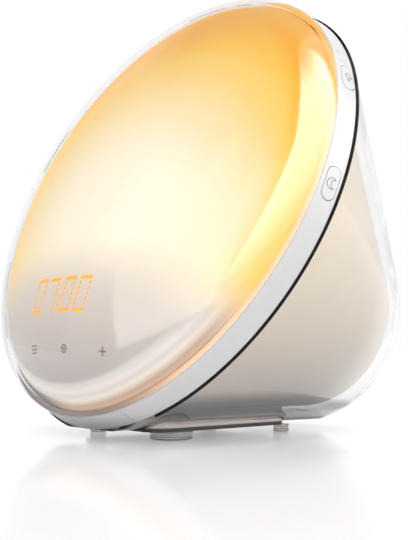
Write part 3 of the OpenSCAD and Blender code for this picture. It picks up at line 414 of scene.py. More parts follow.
def block(name, low, high):
    """A plain box between two corners, to carve with."""
    x, y = (low[0] + high[0]) / 2, (low[1] + high[1]) / 2
    half = [(high[0] - low[0]) / 2, (high[1] - low[1]) / 2]
    outline = np.array([[-1, -1], [1, -1], [1, 1], [-1, 1]]) * half
    return prism(name, outline, low[2], high[2], upright(x, y))


# ------------------------------------------------------------------ materials


def greys(*steps):
    """Stops of a ramp from (place, tone) pairs."""
    return [(at, (tone,) * 3) for at, tone in steps]


class Finish:
    """A material made of nodes, with short calls for what every finish needs."""

    def __init__(self, name):
        self.material = bpy.data.materials.new(name)
        self.material.use_nodes = True
        self.tree = self.material.node_tree
        self.tree.nodes.clear()
        self.shader = self.node("ShaderNodeBsdfPrincipled")
        out = self.node("ShaderNodeOutputMaterial")
        self.tree.links.new(self.shader.outputs[0], out.inputs["Surface"])
        self.place = self.node("ShaderNodeTexCoord").outputs["Object"]

    def node(self, kind, *values, **options):
        """A node with its settings, and its inputs in order: None leaves one alone, an output is linked."""
        made = self.tree.nodes.new(kind)
        for key, value in options.items():
            setattr(made, key, value)
        for socket, value in zip(made.inputs, values):
            if isinstance(value, bpy.types.NodeSocket):
                self.tree.links.new(value, socket)
            elif value is not None:
                socket.default_value = value
        return made

    def set(self, **values):
        """Sets the shader's inputs by name, with _ for a space: values directly, and outputs as links."""
        for key, value in values.items():
            socket = self.shader.inputs[key.replace("_", " ")]
            if isinstance(value, bpy.types.NodeSocket):
                self.tree.links.new(value, socket)
            else:
                socket.default_value = (*value, 1) if hasattr(value, "__len__") and len(value) == 3 else value
        return self

    def noise(self, scale, detail=3.0, stretch=None):
        """Noise in the object's own space, from 0 to 1; stretch sets its scale along each axis."""
        place = self.place
        if stretch:
            place = self.node("ShaderNodeMapping", place, None, None, stretch).outputs[0]
        return self.node("ShaderNodeTexNoise", place, None, scale, detail).outputs["Fac"]

    def maths(self, operation, a, b=None):
        """One step of arithmetic."""
        return self.node("ShaderNodeMath", a, b, operation=operation).outputs[0]

    def height(self):
        """Height over the table."""
        return self.node("ShaderNodeSeparateXYZ", self.place).outputs["Z"]

    def blend(self, factor, a, b, how="MIX"):
        """Two colours mixed by a factor."""
        made = self.node("ShaderNodeMix", data_type="RGBA", blend_type=how, clamp_factor=True)
        for name, value in (("Factor_Float", factor), ("A_Color", a), ("B_Color", b)):
            socket = next(i for i in made.inputs if i.identifier == name)
            if isinstance(value, bpy.types.NodeSocket):
                self.tree.links.new(value, socket)
            else:
                socket.default_value = (*value, 1) if hasattr(value, "__len__") else value
        return next(o for o in made.outputs if o.identifier == "Result_Color")

    def ramp(self, factor, stops, how="EASE"):
        """Colours at places from 0 to 1."""
        made = self.node("ShaderNodeValToRGB", factor)
        band = made.color_ramp
        band.interpolation = how
        while len(band.elements) < len(stops):
            band.elements.new(0.5)
        for element, (at, colour) in zip(band.elements, stops):
            element.position = at
            element.color = (*colour, 1)
        return made.outputs["Color"]

    def remap(self, value, low, high, to_low=0.0, to_high=1.0, how="SMOOTHSTEP"):
        """Moves a value from one range to another, eased at the ends."""
        made = self.node("ShaderNodeMapRange", value, low, high, to_low, to_high, interpolation_type=how)
        return made.outputs[0]

    def bump(self, height, strength, distance):
        """Fine relief from a height."""
        made = self.node("ShaderNodeBump")
        made.inputs["Strength"].default_value = strength
        made.inputs["Distance"].default_value = distance
        self.tree.links.new(height, made.inputs["Height"])
        self.tree.links.new(made.outputs[0], self.shader.inputs["Normal"])
        return self

    def matt(self, scale, low, high):
        """Roughness that wanders between two values, with noise of that scale."""
        return self.set(Roughness=self.remap(self.noise(scale), 0.3, 0.7, low, high))

    def glowing(self, colour, strength, share=1.0):
        """A colour that gives light of that strength, and reflects that share of its own tone."""
        tone = colour if share == 1.0 else self.blend(1.0, colour, (share,) * 3, "MULTIPLY")
        return self.set(Base_Color=tone, Emission_Color=colour, Emission_Strength=strength)

    def lamp(self, level, mask):
        """White light of that level where the mask is full, and nothing where it is empty."""
        self.set(Base_Color=(0, 0, 0), Specular_IOR_Level=0.0)
        return self.set(Emission_Color=(1, 1, 1), Emission_Strength=level, Alpha=mask)

    def toned(self, colour, spread, fac):
        """A colour that varies a little, darker to lighter, with the factor."""
        dark = tuple(c * (1 - spread) for c in colour)
        light = tuple(min(1.0, c * (1 + spread)) for c in colour)
        return self.blend(fac, dark, light)


def moulded(name, colour, roughness=0.45, grain=0.06, grain_size=2500, coat=0.0):
    """Moulded plastic: fine mould grain, slight tone changes and, where asked for, a polished skin."""
    f = Finish(name)
    f.set(Base_Color=f.toned(colour, 0.05, f.noise(60)), Coat_Weight=coat, Coat_Roughness=0.08)
    f.matt(140, roughness * 0.85, roughness * 1.15).bump(f.noise(grain_size, 2.0), grain, 0.0001)
    return f.material


def metal(name, colour, roughness=0.3, stretch=(1, 1, 1)):
    """Metal with fine machining marks."""
    f = Finish(name)
    marks = f.noise(1800, 2.0, stretch)
    f.set(Base_Color=f.toned(colour, 0.06, marks), Metallic=1.0)
    f.set(Roughness=f.remap(marks, 0.3, 0.7, roughness * 0.8, roughness * 1.2))
    f.bump(marks, 0.08, 0.0001)
    return f.material


def clear_plastic(name, roughness, bend, coat, edge, foot=None):
    """Clear polished plastic with a trace of moulding waviness. Light that passes at a grazing angle goes
    through more of it, so it darkens towards the edge. Where a foot height is given, painted shade darkens
    it towards the table and in a band at the height of the tray's lower edge. Its polished skin fades out at
    the very edge."""
    f = Finish(name)
    colour = f.toned((1.0, 1.0, 1.0), 0.006, f.noise(25))
    facing = f.node("ShaderNodeLayerWeight", 0.5).outputs["Facing"]
    grey = greys((0.0, 0.985), (0.6, 0.97), (0.88, 0.90), (1.0, edge))
    colour = f.blend(1.0, colour, f.ramp(facing, grey), "MULTIPLY")
    if foot:
        # painted shade: dark where the plastic ends at the table, and again in a band at the height of the
        # tray's lower edge
        lines = greys((0.0, 0.05), (0.06, 0.08), (0.12, 0.9), (0.44, 0.97))
        lines += greys((0.56, 0.38), (0.68, 0.45), (0.84, 0.95), (1.0, 1.0))
        low = f.ramp(f.remap(f.height(), foot, foot + 0.010, how="LINEAR"), lines)
        colour = f.blend(1.0, colour, low, "MULTIPLY")
    f.set(Base_Color=colour, Transmission_Weight=1.0, IOR=bend, Coat_Roughness=0.02)
    f.set(Coat_Weight=f.remap(facing, 0.60, 0.90, coat, 0.0))
    f.set(Roughness=f.remap(f.noise(40), 0.35, 0.65, 0.0, roughness))
    return f.material


def circuit(name):
    """Green solder mask with copper traces under it and rows of pads."""
    f = Finish(name)
    cells = f.node("ShaderNodeTexVoronoi", f.place, None, 420.0, distance="MANHATTAN", feature="F1")
    trace = f.remap(cells.outputs["Distance"], 0.38, 0.44)
    f.set(Base_Color=f.blend(trace, (0.012, 0.12, 0.05), (0.03, 0.22, 0.09)))
    f.matt(300, 0.22, 0.35).bump(trace, 0.2, 0.0001)
    return f.material


def dress(node, material):
    """Gives a CAD node its finish."""
    mesh = NODES[node].data
    mesh.materials.clear()
    mesh.materials.append(material)


def finished(piece, material, body, slot, *nodes):
    """Gives a new piece its finish, its body and the CAD nodes that it stands for; its slot is not used."""
    piece.data.materials.clear()
    piece.data.materials.append(material)
    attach(piece, body)
    if nodes:
        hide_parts(*nodes)
    return piece


# ------------------------------------------------------------------ stage


# middle of the spheres that the studio's cards are cut from
CARD_MIDDLE = (0.0, 0.0, 0.09)


class CLOCK_OT_studio(bpy.types.Operator):
    """Make the camera, the pale floor, the white surroundings and the cards round the clock"""

    bl_idname = "clock.studio"
    bl_label = "Studio"

    def execute(self, context):
        s = settings("studio")
        scene = context.scene
        scene.view_settings.view_transform = "Standard"
        data = bpy.data.cameras.new("camera")
        data.lens, data.sensor_width, data.sensor_fit = s.lens, 36.0, "AUTO"
        data.clip_start, data.clip_end = 0.01, 20.0
        camera = bpy.data.objects.new("camera", data)
        camera.location, camera.rotation_euler = s.camera_place, s.camera_turn
        scene.collection.objects.link(camera)
        scene.camera = camera
        self.surroundings(scene, s)
        self.floor(s)
        self.window(s)
        self.right_screen(s)
        self.dark_flags()
        return {"FINISHED"}

    def surroundings(self, scene, s):
        """A white world: full strength to the camera, in gloss and through glass, and softer as light."""
        world = bpy.data.worlds.new("surroundings")
        scene.world = world
        world.use_nodes = True
        tree = world.node_tree
        path = tree.nodes.new("ShaderNodeLightPath")
        back = tree.nodes["Background"]
        back.inputs["Color"].default_value = (1, 1, 1, 1)
        shown = path.outputs["Is Camera Ray"]
        for ray in ("Is Glossy Ray", "Is Transmission Ray"):
            join = tree.nodes.new("ShaderNodeMath")
            join.operation = "MAXIMUM"
            tree.links.new(shown, join.inputs[0])
            tree.links.new(path.outputs[ray], join.inputs[1])
            shown = join.outputs[0]
        level = tree.nodes.new("ShaderNodeMapRange")
        level.inputs["To Min"].default_value = s.world_light
        tree.links.new(shown, level.inputs["Value"])
        tree.links.new(level.outputs[0], back.inputs["Strength"])

    def floor(self, s):
        """A wide pale floor with a soft polish; what the camera sees of it is lifted to white, and the shadow
        and the faint mirror image of the clock stay on it."""
        quads = grid_quads(2, 2)
        corners = np.array([[[-6, -6, 0], [6, -6, 0]], [[-6, 6, 0], [6, 6, 0]]], float)
        floor = mesh_piece("floor", [(corners, quads)])
        f = Finish("pale_floor")
        f.set(Base_Color=f.toned((0.80, 0.79, 0.805), 0.004, f.noise(3)), Roughness=0.12, IOR=1.16)
        path = f.node("ShaderNodeLightPath").outputs
        seen = f.maths("MAXIMUM", path["Is Camera Ray"], path["Is Glossy Ray"])
        seen = f.maths("MAXIMUM", seen, path["Is Transmission Ray"])
        f.set(Emission_Color=(1, 1, 1), Emission_Strength=f.maths("MULTIPLY", seen, s.floor_lift))
        floor.data.materials.append(f.material)

    def patch(self, name, radius, around, up, steps=49):
        """Part of a sphere round the clock, for directions a round from the front and e up, in degrees: the
        points are middle + radius (sin a cos e, -cos a cos e, sin e)."""
        spans = [np.radians(np.linspace(*span, steps)) for span in (around, up)]
        a, e = np.meshgrid(*spans, indexing="ij")
        unit = np.stack([np.sin(a) * np.cos(e), -np.cos(a) * np.cos(e), np.sin(e)], -1)
        points = np.array(CARD_MIDDLE) + radius * unit
        card = mesh_piece(name, [(points, grid_quads(steps, steps))], 180)
        card.visible_camera = False
        card.visible_shadow = False
        card.visible_transmission = False
        return card

    def heading(self, f):
        """Degrees round from the front and degrees up of a point on a patch."""
        local = f.node("ShaderNodeVectorMath", f.place, CARD_MIDDLE, operation="SUBTRACT").outputs[0]
        unit = f.node("ShaderNodeVectorMath", local, operation="NORMALIZE").outputs[0]
        x, y, z = f.node("ShaderNodeSeparateXYZ", unit).outputs
        around = f.maths("ARCTAN2", x, f.maths("MULTIPLY", y, -1.0))
        up = f.maths("ARCSINE", z)
        return [f.maths("MULTIPLY", turn, math.degrees(1)) for turn in (around, up)]

    def shown(self, f, edges):
        """Product of soft edges, each (value, where it starts, where it is full)."""
        mask = None
        for value, low, high in edges:
            edge = f.remap(value, low, high)
            mask = edge if mask is None else f.maths("MULTIPLY", mask, edge)
        return mask

    def window(self, s):
        """A pane low in front of the clock, seen in gloss alone. Its left side leans, its right side curves
        in by 0.0098 (e + 4)^2 degrees as it goes up, and its upper left corner is cut off."""
        card = self.patch("window_card", 0.26, (-60, 45), (-20, 60))
        card.visible_diffuse = False
        f = Finish("window_card")
        around, up = self.heading(f)
        left = f.maths("ADD", around, f.maths("MULTIPLY", up, 0.5))
        above = f.maths("MAXIMUM", f.maths("ADD", up, 4.0), 0.0)
        right = f.maths("ADD", around, f.maths("MULTIPLY", f.maths("MULTIPLY", above, above), 0.0098))
        corner = f.maths("SUBTRACT", up, around)
        edges = [(left, -23.5, -20.5), (up, -19, -15), (right, 35, 31), (corner, 52, 38)]
        mask = self.shown(f, edges)
        f.lamp(f.remap(up, -12, 18, s.window, 1.1), mask)
        card.data.materials.append(f.material)

    def right_screen(self, s):
        """A tall screen from the right front round to the right rear, brighter in gloss than as light."""
        card = self.patch("right_screen", 1.0, (15, 160), (-4, 88))
        f = Finish("right_screen")
        around, up = self.heading(f)
        inner = f.maths("SUBTRACT", around, f.maths("MINIMUM", f.maths("MULTIPLY", up, 0.55), 26.0))
        mask = self.shown(f, [(inner, 21, 26), (around, 152, 130), (up, 88, 62)])
        path = f.node("ShaderNodeLightPath").outputs
        level = f.remap(path["Is Glossy Ray"], 0, 1, s.right_screen * s.lit_share, s.right_screen, "LINEAR")
        f.lamp(f.maths("MULTIPLY", level, f.remap(up, -8, 42, 0.35, 1.4)), mask)
        card.data.materials.append(f.material)

    def dark_flags(self):
        """Dark cards that only gloss sees: one from the left over the top, a fainter one low on the left."""
        # name, radius, degrees round and up, darkness, and the soft edges at the sides and at the ends
        flags = (
            ("upper_flag", 1.4, (-185, 48), (32, 90), 1.0, ((-185, -165), (46, 36)), ((36, 50),)),
            ("left_flag", 1.3, (-102, -40), (-12, 50), 0.6, ((-101, -88), (-42, -60)), ((-10, 4), (50, 38))),
        )
        for name, radius, around, up, depth, sides, ends in flags:
            card = self.patch(name, radius, around, up)
            card.visible_diffuse = False
            f = Finish(name)
            a, e = self.heading(f)
            edges = [(a, *edge) for edge in sides] + [(e, *edge) for edge in ends]
            mask = f.maths("MULTIPLY", self.shown(f, edges), depth)
            f.set(Base_Color=(0.02, 0.02, 0.02), Specular_IOR_Level=0.0, Roughness=1.0, Alpha=mask)
            card.data.materials.append(f.material)


# ------------------------------------------------------------------ face


class CLOCK_OT_clear_dome(bpy.types.Operator):
    """Make the clear dome over the face, with its thick rim"""

    bl_idname = "clock.clear_dome"
    bl_label = "Clear dome"

    def execute(self, context):
        s, ring = settings("face"), settings("ring")
        inner = s.radius - ring.wall
        outer = half_ellipse(s.radius, s.dome_height, steps=120)[::-1]
        # the rim stands a hair over the ring's front, on a narrow ledge with a bevelled outer edge
        ledge, low, bevel_up, bevel_in = 0.00055, 0.00003, 0.0004, 0.0003
        far = s.radius - ledge
        rim = [(s.radius, bevel_up), (s.radius - bevel_in, low), (far, low)]
        rim += [(far, s.groove), (inner, s.groove)]
        height = s.dome_height - s.dome_wall
        inside = half_ellipse(inner, height, math.asin(s.groove / height))
        profile = np.concatenate([outer[:-1], rim, inside[1:]])
        piece = turned("clear_dome", profile, face_axes(), closed=False)
        plastic = clear_plastic("clear_dome_plastic", roughness=0.012, bend=1.01, coat=1.0, edge=0.7)
        finished(piece, plastic, "clock", "clear_plastic", "front_cover")
        return {"FINISHED"}


def face_coordinates(f):
    """Distance to the right of the face's middle, distance up its slope, and height over the ring's front."""
    middle, right, up, out = face_axes()
    local = f.node("ShaderNodeVectorMath", f.place, tuple(middle), operation="SUBTRACT").outputs[0]
    return [
        f.node("ShaderNodeVectorMath", local, tuple(axis), operation="DOT_PRODUCT").outputs["Value"]
        for axis in (right, up, out)
    ]


def lamp_glow(f):
    """Colour of the lamp's light on the face, and the places right and up on it that the colour is worked
    out from. It follows the distance from the lamp's middle, which counts less to the left, from cream to
    orange, and a little more at the very rim."""
    c = settings("colour")
    x, v, _ = face_coordinates(f)
    lamp_right, lamp_drop, reach = 0.025, 0.025, 0.105
    dx = f.maths("SUBTRACT", x, lamp_right)
    dv = f.maths("ADD", v, lamp_drop)
    right = f.remap(dv, -0.01, 0.04, 0.75, 1.0)
    dx = f.maths("MULTIPLY", dx, f.remap(dx, -0.02, 0.02, 0.68, right))
    far = f.maths("SQRT", f.maths("ADD", f.maths("MULTIPLY", dx, dx), f.maths("MULTIPLY", dv, dv)))
    rho = f.maths("SQRT", f.maths("ADD", f.maths("MULTIPLY", x, x), f.maths("MULTIPLY", v, v)))
    far = f.maths("ADD", far, f.remap(rho, 0.078, 0.089, 0.0, 0.02))
    far = f.maths("ADD", far, f.maths("MULTIPLY", f.maths("SUBTRACT", f.noise(14, 1.0), 0.5), 0.004))
    stops = [(0.0, c.glow_middle), (0.30, c.glow_pale), (0.543, c.glow_warm)]
    stops += [(0.695, c.glow_deep), (0.857, c.glow_edge)]
    return f.ramp(f.maths("DIVIDE", far, reach), stops, "CARDINAL"), x, v


def lit_diffuser_finish():
    """Frosted plastic lit from behind. Below a soft curved line the lamp is screened off and the face is
    grey-beige, with painted shade towards its lower edge and a weaker painted glow. Round its lower rim it
    carries painted refraction bands of the dome's thick rim, cream and copper, with painted shade low on the
    left. Low on the right the glow turns amber near the rim."""
    c = settings("colour")
    f = Finish("lit_diffuser_plastic")
    glow, x, v = lamp_glow(f)
    height = face_coordinates(f)[2]
    amber = f.maths("MULTIPLY", f.remap(height, 0.0062, 0.0030, 0.0, 0.75), f.remap(v, 0.03, -0.02))
    glow = f.blend(f.maths("MULTIPLY", amber, f.remap(x, 0.02, 0.06)), glow, tuple(c.glow_deep))
    # screened part at the bottom, with a line that dips to both sides
    line = f.maths("ADD", v, f.maths("MULTIPLY", f.maths("MULTIPLY", x, x), 1.6))
    lit = f.remap(line, -0.057, -0.029)
    # painted shade: the screened grey darkens towards the face's lower edge
    grey = f.blend(f.remap(v, -0.086, -0.050), tuple(c.display_low_shade), tuple(c.display_top))
    colour = f.blend(lit, grey, glow)
    # painted refraction bands of the dome's thick rim, by height over the ring: copper low down and cream
    # above, with painted shade low on the left
    rim_bands_top = 0.0105
    stops = [
        (0.0, (0.55, 0.24, 0.11)),
        (0.10, (0.78, 0.50, 0.33)),
        (0.26, (0.62, 0.44, 0.32)),
        (0.36, (0.84, 0.66, 0.51)),
        (0.46, (0.96, 0.87, 0.77)),
        (0.60, (0.82, 0.74, 0.67)),
        (0.72, (0.92, 0.86, 0.80)),
        (1.0, (0.68, 0.63, 0.59)),
    ]
    painted_rim_bands = f.ramp(f.maths("DIVIDE", height, rim_bands_top), stops, "LINEAR")
    # painted shade: the bands turn dark brown low on the left
    shade = f.maths("MULTIPLY", f.remap(x, 0.004, -0.024), f.remap(height, 0.0065, 0.0040))
    painted_rim_bands = f.blend(shade, painted_rim_bands, (0.10, 0.07, 0.055))
    rim = f.maths("MULTIPLY", f.remap(height, 0.0106, 0.0094), f.remap(v, -0.046, -0.066))
    colour = f.blend(rim, colour, painted_rim_bands)
    # painted light: the screened part glows too, less than the lit part
    f.glowing(colour, f.remap(lit, 0.0, 1.0, 0.46, 0.68, "LINEAR"), 0.55).set(Specular_IOR_Level=0.1)
    f.matt(200, 0.45, 0.55).bump(f.noise(3500, 2.0), 0.04, 0.0001)
    return f.material


class CLOCK_OT_lit_face(bpy.types.Operator):
    """Make the glowing diffuser under the dome"""

    bl_idname = "clock.lit_face"
    bl_label = "Lit face"

    def execute(self, context):
        s, ring = settings("face"), settings("ring")
        outer = s.radius - ring.wall - s.rim_gap
        height = s.dome_height - s.dome_wall - s.dome_gap
        inner = outer - s.diffuser_wall
        flange = inner - s.flange_reach
        # the last part above the rim flares out to the dome by (gap - fit) (1 - z / 0.4 h)^2
        skin = half_ellipse(outer, height)[::-1]
        skin[:, 0] += (s.rim_gap - s.fit) * np.maximum(0, 1 - skin[:, 1] / (0.4 * height)) ** 2
        profile = np.concatenate([
            skin,
            [(s.flange_radius, 0.0), (s.flange_radius, -s.flange), (flange, -s.flange), (flange, 0.0)],
            half_ellipse(inner, height - s.diffuser_wall),
        ])
        piece = turned("lit_diffuser", profile, face_axes(), closed=False)
        finished(piece, lit_diffuser_finish(), "clock", "lit_diffuser", "front_diffuser")
        return {"FINISHED"}


class CLOCK_OT_figures(bpy.types.Operator):
    """Light the clock time and the rim, and print the touch marks"""

    bl_idname = "clock.figures"
    bl_label = "Clock time and touch marks"

    def execute(self, context):
        c = settings("colour")
        f = Finish("figure_light")
        f.glowing(f.toned(c.figures, 0.10, f.noise(500)), 0.95, 0.4)
        f.set(Roughness=0.5, Specular_IOR_Level=0.1)
        dress("clock_digits", f.material)
        dress("touch_marks", moulded("touch_print", c.print_grey, 0.5, 0.02))
        f = Finish("rim_light_guide")
        glow, x, v = lamp_glow(f)
        # painted shade: the light ring turns dark brown low down and to the left
        low = f.remap(f.maths("ADD", v, f.maths("MULTIPLY", x, 0.6)), -0.085, -0.03)
        colour = f.blend(low, (0.10, 0.06, 0.045), f.blend(f.remap(v, -0.02, 0.03), tuple(c.rim_glow), glow))
        f.glowing(colour, 0.6).set(Roughness=0.25)
        dress("rim_light", f.material)
        return {"FINISHED"}


# ------------------------------------------------------------------ ring and buttons


def ring_radius(depth):
    """Radius of the ring's outside at a depth behind its front edge."""
    return settings("face").radius + settings("ring").flare * depth / settings("ring").depth


def ring_profile():
    """The ring's section with rounded outer edges, as (radius, height) with the depth as a minus."""
    s, face = settings("ring"), settings("face")
    e = s.edge
    a = np.linspace(0, math.pi / 2, 6)
    front = np.stack([face.radius - e + e * np.sin(a), -e + e * np.cos(a)], 1)
    back = np.stack([face.radius + s.flare - e + e * np.cos(a), -s.depth + e - e * np.sin(a)], 1)
    inner = face.radius - s.wall
    margin = 0.0015
    side = [(ring_radius(d), -d) for d in np.linspace(margin, s.depth - margin, 5)]
    return np.concatenate([[(inner, 0.0)], front, side, back, [(inner, -s.depth)]])


def on_ring(angle, depth):
    """Puts an outline on the ring's outside: x runs towards the back, y along the ring as an arc, and height
    is the distance off the ring's surface."""
    middle, right, up, out = face_axes()

    def place(outline, height):
        d = depth + outline[:, 0]
        r = ring_radius(d) + height
        u = angle + outline[:, 1] / settings("face").radius
        spoke = np.cos(u)[:, None] * right + np.sin(u)[:, None] * up
        return middle + r[:, None] * spoke - d[:, None] * out

    return place


def stadium(long, wide, inset, steps=14, sides=8):
    """A straight slot outline with round ends, drawn smaller by inset."""
    r = max(wide / 2 - inset, 0.0)
    straight = (long - wide) / 2
    a = np.linspace(0, math.pi, steps)
    top = np.stack([r * np.cos(a), straight + r * np.sin(a)], 1)
    k = np.linspace(straight, -straight, sides + 2)[1:-1]
    left = np.stack([np.full(sides, -r), k], 1)
    return np.concatenate([top, left, -top, -left])


# degrees round the ring from its right side, and depth behind the ring's front edge
BUTTONS = {
    "light_button": (25.2, 0.0048),
    "snooze_button": (-3.0, 0.0043),
    "alarm_button": (183.0, 0.0043),
    "sound_button": (154.8, 0.0048),
}


class CLOCK_OT_ring(bpy.types.Operator):
    """Make the white ring with its button openings, the insert at its bottom and the black seal"""

    bl_idname = "clock.ring"
    bl_label = "Ring and seal"

    def execute(self, context):
        s, c, face = settings("ring"), settings("colour"), settings("face")
        axes = face_axes()
        white = self.white_gloss(c)
        half, slit = s.insert_arc / 2, s.seam / face.radius
        bottom = -math.pi / 2
        start, end = bottom + half + slit, bottom - half - slit + 2 * math.pi
        ring = turned("white_ring", ring_profile(), axes, start, end)
        cutters = []
        # the slots go right through the ring's wall
        inside, outside = -0.006, 0.004
        outline = stadium(s.button_length, s.button_width, -s.button_gap)
        for name, (around, depth) in BUTTONS.items():
            place = on_ring(math.radians(around), depth)
            cutters.append(prism("slot_" + name, outline, inside, outside, place))
        carve(ring, cutters)
        finished(ring, white, "clock", "white_gloss", "trim_ring")
        insert = turned("ring_insert_piece", ring_profile(), axes, bottom - half, bottom + half)
        finished(insert, white, "clock", "white_gloss", "ring_insert")
        rear = settings("rear")
        outer = face.radius + s.flare - s.seal_inset
        lip_in, lip_out = rear.housing_rim - s.seal_lip, rear.housing_rim + face.fit
        deep = s.depth + s.seal
        lip_back = deep + s.seal_lip
        profile = [(lip_in, -s.depth), (outer, -s.depth), (outer, -deep)]
        profile += [(lip_out, -deep), (lip_out, -lip_back), (lip_in, -lip_back)]
        seal = turned("black_seal", profile, axes)
        finished(seal, self.seal_rubber(), "clock", "black_rubber", "seal_ring")
        return {"FINISHED"}

    def seal_rubber(self):
        """Black rubber, browner at half height where light from the housing reaches it."""
        f = Finish("seal_rubber")
        black, brown, warm = (0.02, 0.02, 0.02), (0.16, 0.145, 0.12), (0.13, 0.115, 0.09)
        tones = [(0.0, black), (0.3, (0.035, 0.032, 0.03)), (0.48, brown), (0.7, warm), (0.86, black)]
        f.set(Base_Color=f.ramp(f.remap(f.height(), 0.0, 0.18, how="LINEAR"), tones))
        f.matt(140, 0.42, 0.58).bump(f.noise(2500, 2.0), 0.1, 0.0001)
        return f.material

    def white_gloss(self, c):
        """Polished white plastic with a clear skin."""
        f = Finish("white_gloss_plastic")
        # close to the table the ring takes a little of its shade
        shade = f.blend(f.remap(f.height(), 0.003, 0.012), (0.55, 0.54, 0.54), (1.0, 1.0, 1.0))
        f.set(Base_Color=f.blend(1.0, f.toned(c.white, 0.004, f.noise(35)), shade, "MULTIPLY"))
        f.set(Coat_Weight=0.15, Coat_Roughness=0.08, Specular_IOR_Level=0.2)
        f.matt(90, 0.27, 0.30).bump(f.noise(2600, 1.0), 0.01, 0.00005)
        return f.material


def ribbon(path, width, closed, place, low, high):
    """A flat line of even width along a path of (x, y), between two levels: each point moves sideways by half
    the width along the normal of the path's direction."""
    path = np.asarray(path, float)
    ahead = np.roll(path, -1, 0) - np.roll(path, 1, 0)
    if not closed:
        ahead[0], ahead[-1] = path[1] - path[0], path[-1] - path[-2]
    ahead /= np.linalg.norm(ahead, axis=1, keepdims=True)
    side = np.stack([-ahead[:, 1], ahead[:, 0]], 1) * width / 2
    left, right = path + side, path - side
    points = np.stack([place(left, low), place(left, high), place(right, high), place(right, low)], 1)
    if closed:
        return points, grid_quads(len(points), 4, True, True)
    first, last = (np.broadcast_to(row.mean(0), (1, 4, 3)) for row in (points[0], points[-1]))
    points = np.concatenate([first, points, last])
    return points, grid_quads(len(points), 4, False, True)


def arc(x, y, r, start, end, steps=24):
    """Points on part of a circle, in degrees."""
    a = np.radians(np.linspace(start, end, steps))
    return np.stack([x + r * np.cos(a), y + r * np.sin(a)], 1)


def sign_lines(name):
    """The lines of a button's sign, in millimetres, as (path, closed)."""
    if name == "light_button":
        shade = np.array([(-1.5, -0.3), (1.5, -0.3), (0.8, 1.6), (-0.8, 1.6)])
        shade = np.concatenate([np.linspace(shade[i - 1], shade[i], 8, endpoint=False) for i in range(4)])
        stem = np.linspace((0, -0.3), (0, -1.9), 6)
        foot = np.linspace((-0.9, -1.9), (0.9, -1.9), 6)
        return [(shade, True), (stem, False), (foot, False)]
    if name == "snooze_button":
        # a crescent whose two arcs meet in points: the outer of radius 1.9, the inner of radius 1.57
        return [(arc(0, 0, 1.9, 52, 308, 40), False), (arc(1.15, 0, 1.498, 90.9, 269.1, 32), False)]
    if name == "alarm_button":
        skirt = [(-0.95, -0.7), (-1.25, -1.0), (1.25, -1.0), (0.95, -0.7)]
        bell = np.concatenate([arc(0, 0.2, 0.85, 0, 180, 16), skirt])
        return [(bell, True), (arc(0, -1.25, 0.3, 200, 340, 8), False)]
    horn = np.array([(-1.2, -0.4), (-0.6, -0.4), (0.1, -1.1), (0.1, 1.1), (-0.6, 0.4), (-1.2, 0.4)])
    horn = np.concatenate([np.linspace(horn[i - 1], horn[i], 6, endpoint=False) for i in range(6)])
    return [(horn, True), (arc(0, 0, 0.75, -40, 40, 8), False), (arc(0, 0, 1.3, -40, 40, 10), False)]


class CLOCK_OT_buttons(bpy.types.Operator):
    """Make the four ring buttons with their printed signs"""

    bl_idname = "clock.buttons"
    bl_label = "Buttons"

    def execute(self, context):
        s, c = settings("ring"), settings("colour")
        white = bpy.data.materials["white_gloss_plastic"]
        ink = moulded("button_print", c.print_grey, 0.4, 0.02)
        lip, lip_end, lip_start, neck = 0.0008, -0.0042, -0.0036, -0.0008
        edge, flat = 0.0005, 0.0012
        line_width, line_depth, lifted = 0.00024, 0.00004, 0.00002
        for name, (around, depth) in BUTTONS.items():
            place = on_ring(math.radians(around), depth)
            # inset and height of each outline, from the lip inside the ring to the rounded top
            steps = [(-lip, lip_end), (-lip, lip_start), (0.0, lip_start), (0.0, neck), (0.0, 0.0)]
            a = np.linspace(0, math.pi / 2, 6)
            steps += [(edge * (1 - math.cos(k)), s.button_proud * math.sin(k)) for k in a[1:]]
            steps += [(flat, s.button_proud), (s.button_width / 2, s.button_proud)]
            levels = [(stadium(s.button_length, s.button_width, inset), height) for inset, height in steps]
            piece = mesh_piece(name + "_key", [stacked(levels, place, False)])
            finished(piece, white, name + "_body", "white_gloss", name)
            # signs read upright: their +x runs to the back on the right side, and to the front on the left
            metres = 0.001 if around < 90 else -0.001
            top = s.button_proud + lifted
            low, high = top - line_depth, top + line_depth
            lines = [(np.asarray(path) * metres, closed) for path, closed in sign_lines(name)]
            parts = [ribbon(path, line_width, closed, place, low, high) for path, closed in lines]
            finished(mesh_piece(name + "_sign", parts), ink, name + "_body", "print_grey")
        return {"FINISHED"}


# ------------------------------------------------------------------ rear body


def housing_finish():
    """Frosted warm plastic with painted light and shade: cream high up where the lamp shines through,
    grey-brown low down, and a painted glow all over.
    """
    c = settings("colour")
    f = Finish("frosted_housing_plastic")
    split = f.node("ShaderNodeSeparateXYZ", f.place).outputs
    level = f.maths("ADD", split["Z"], f.maths("MULTIPLY", f.maths("SUBTRACT", f.noise(12, 1.0), 0.5), 0.02))
    # painted light high up and painted shade low down, by height
    colour = f.ramp(
        f.remap(level, 0.02, 0.15, how="LINEAR"),
        [(0.0, c.housing_low_shade), (0.45, c.housing_warm), (1.0, c.housing_top)],
        "LINEAR",
    )
    # the rounded rear end is paler, as more light comes through the thick shell there
    rear = f.remap(split["Y"], 0.026, 0.058)
    colour = f.blend(f.maths("MULTIPLY", rear, 0.7), colour, (1.0, 0.97, 0.92))
    # painted glow over the whole housing, a little stronger at the rear end
    f.glowing(colour, f.remap(rear, 0.0, 1.0, 0.44, 0.52, "LINEAR"), 0.8)
    f.set(Sheen_Weight=0.8, Sheen_Roughness=0.35, Coat_Weight=0.15, Coat_Roughness=0.3)
    f.matt(180, 0.42, 0.55).bump(f.noise(3000, 2.0), 0.06, 0.0001)
    return f.material


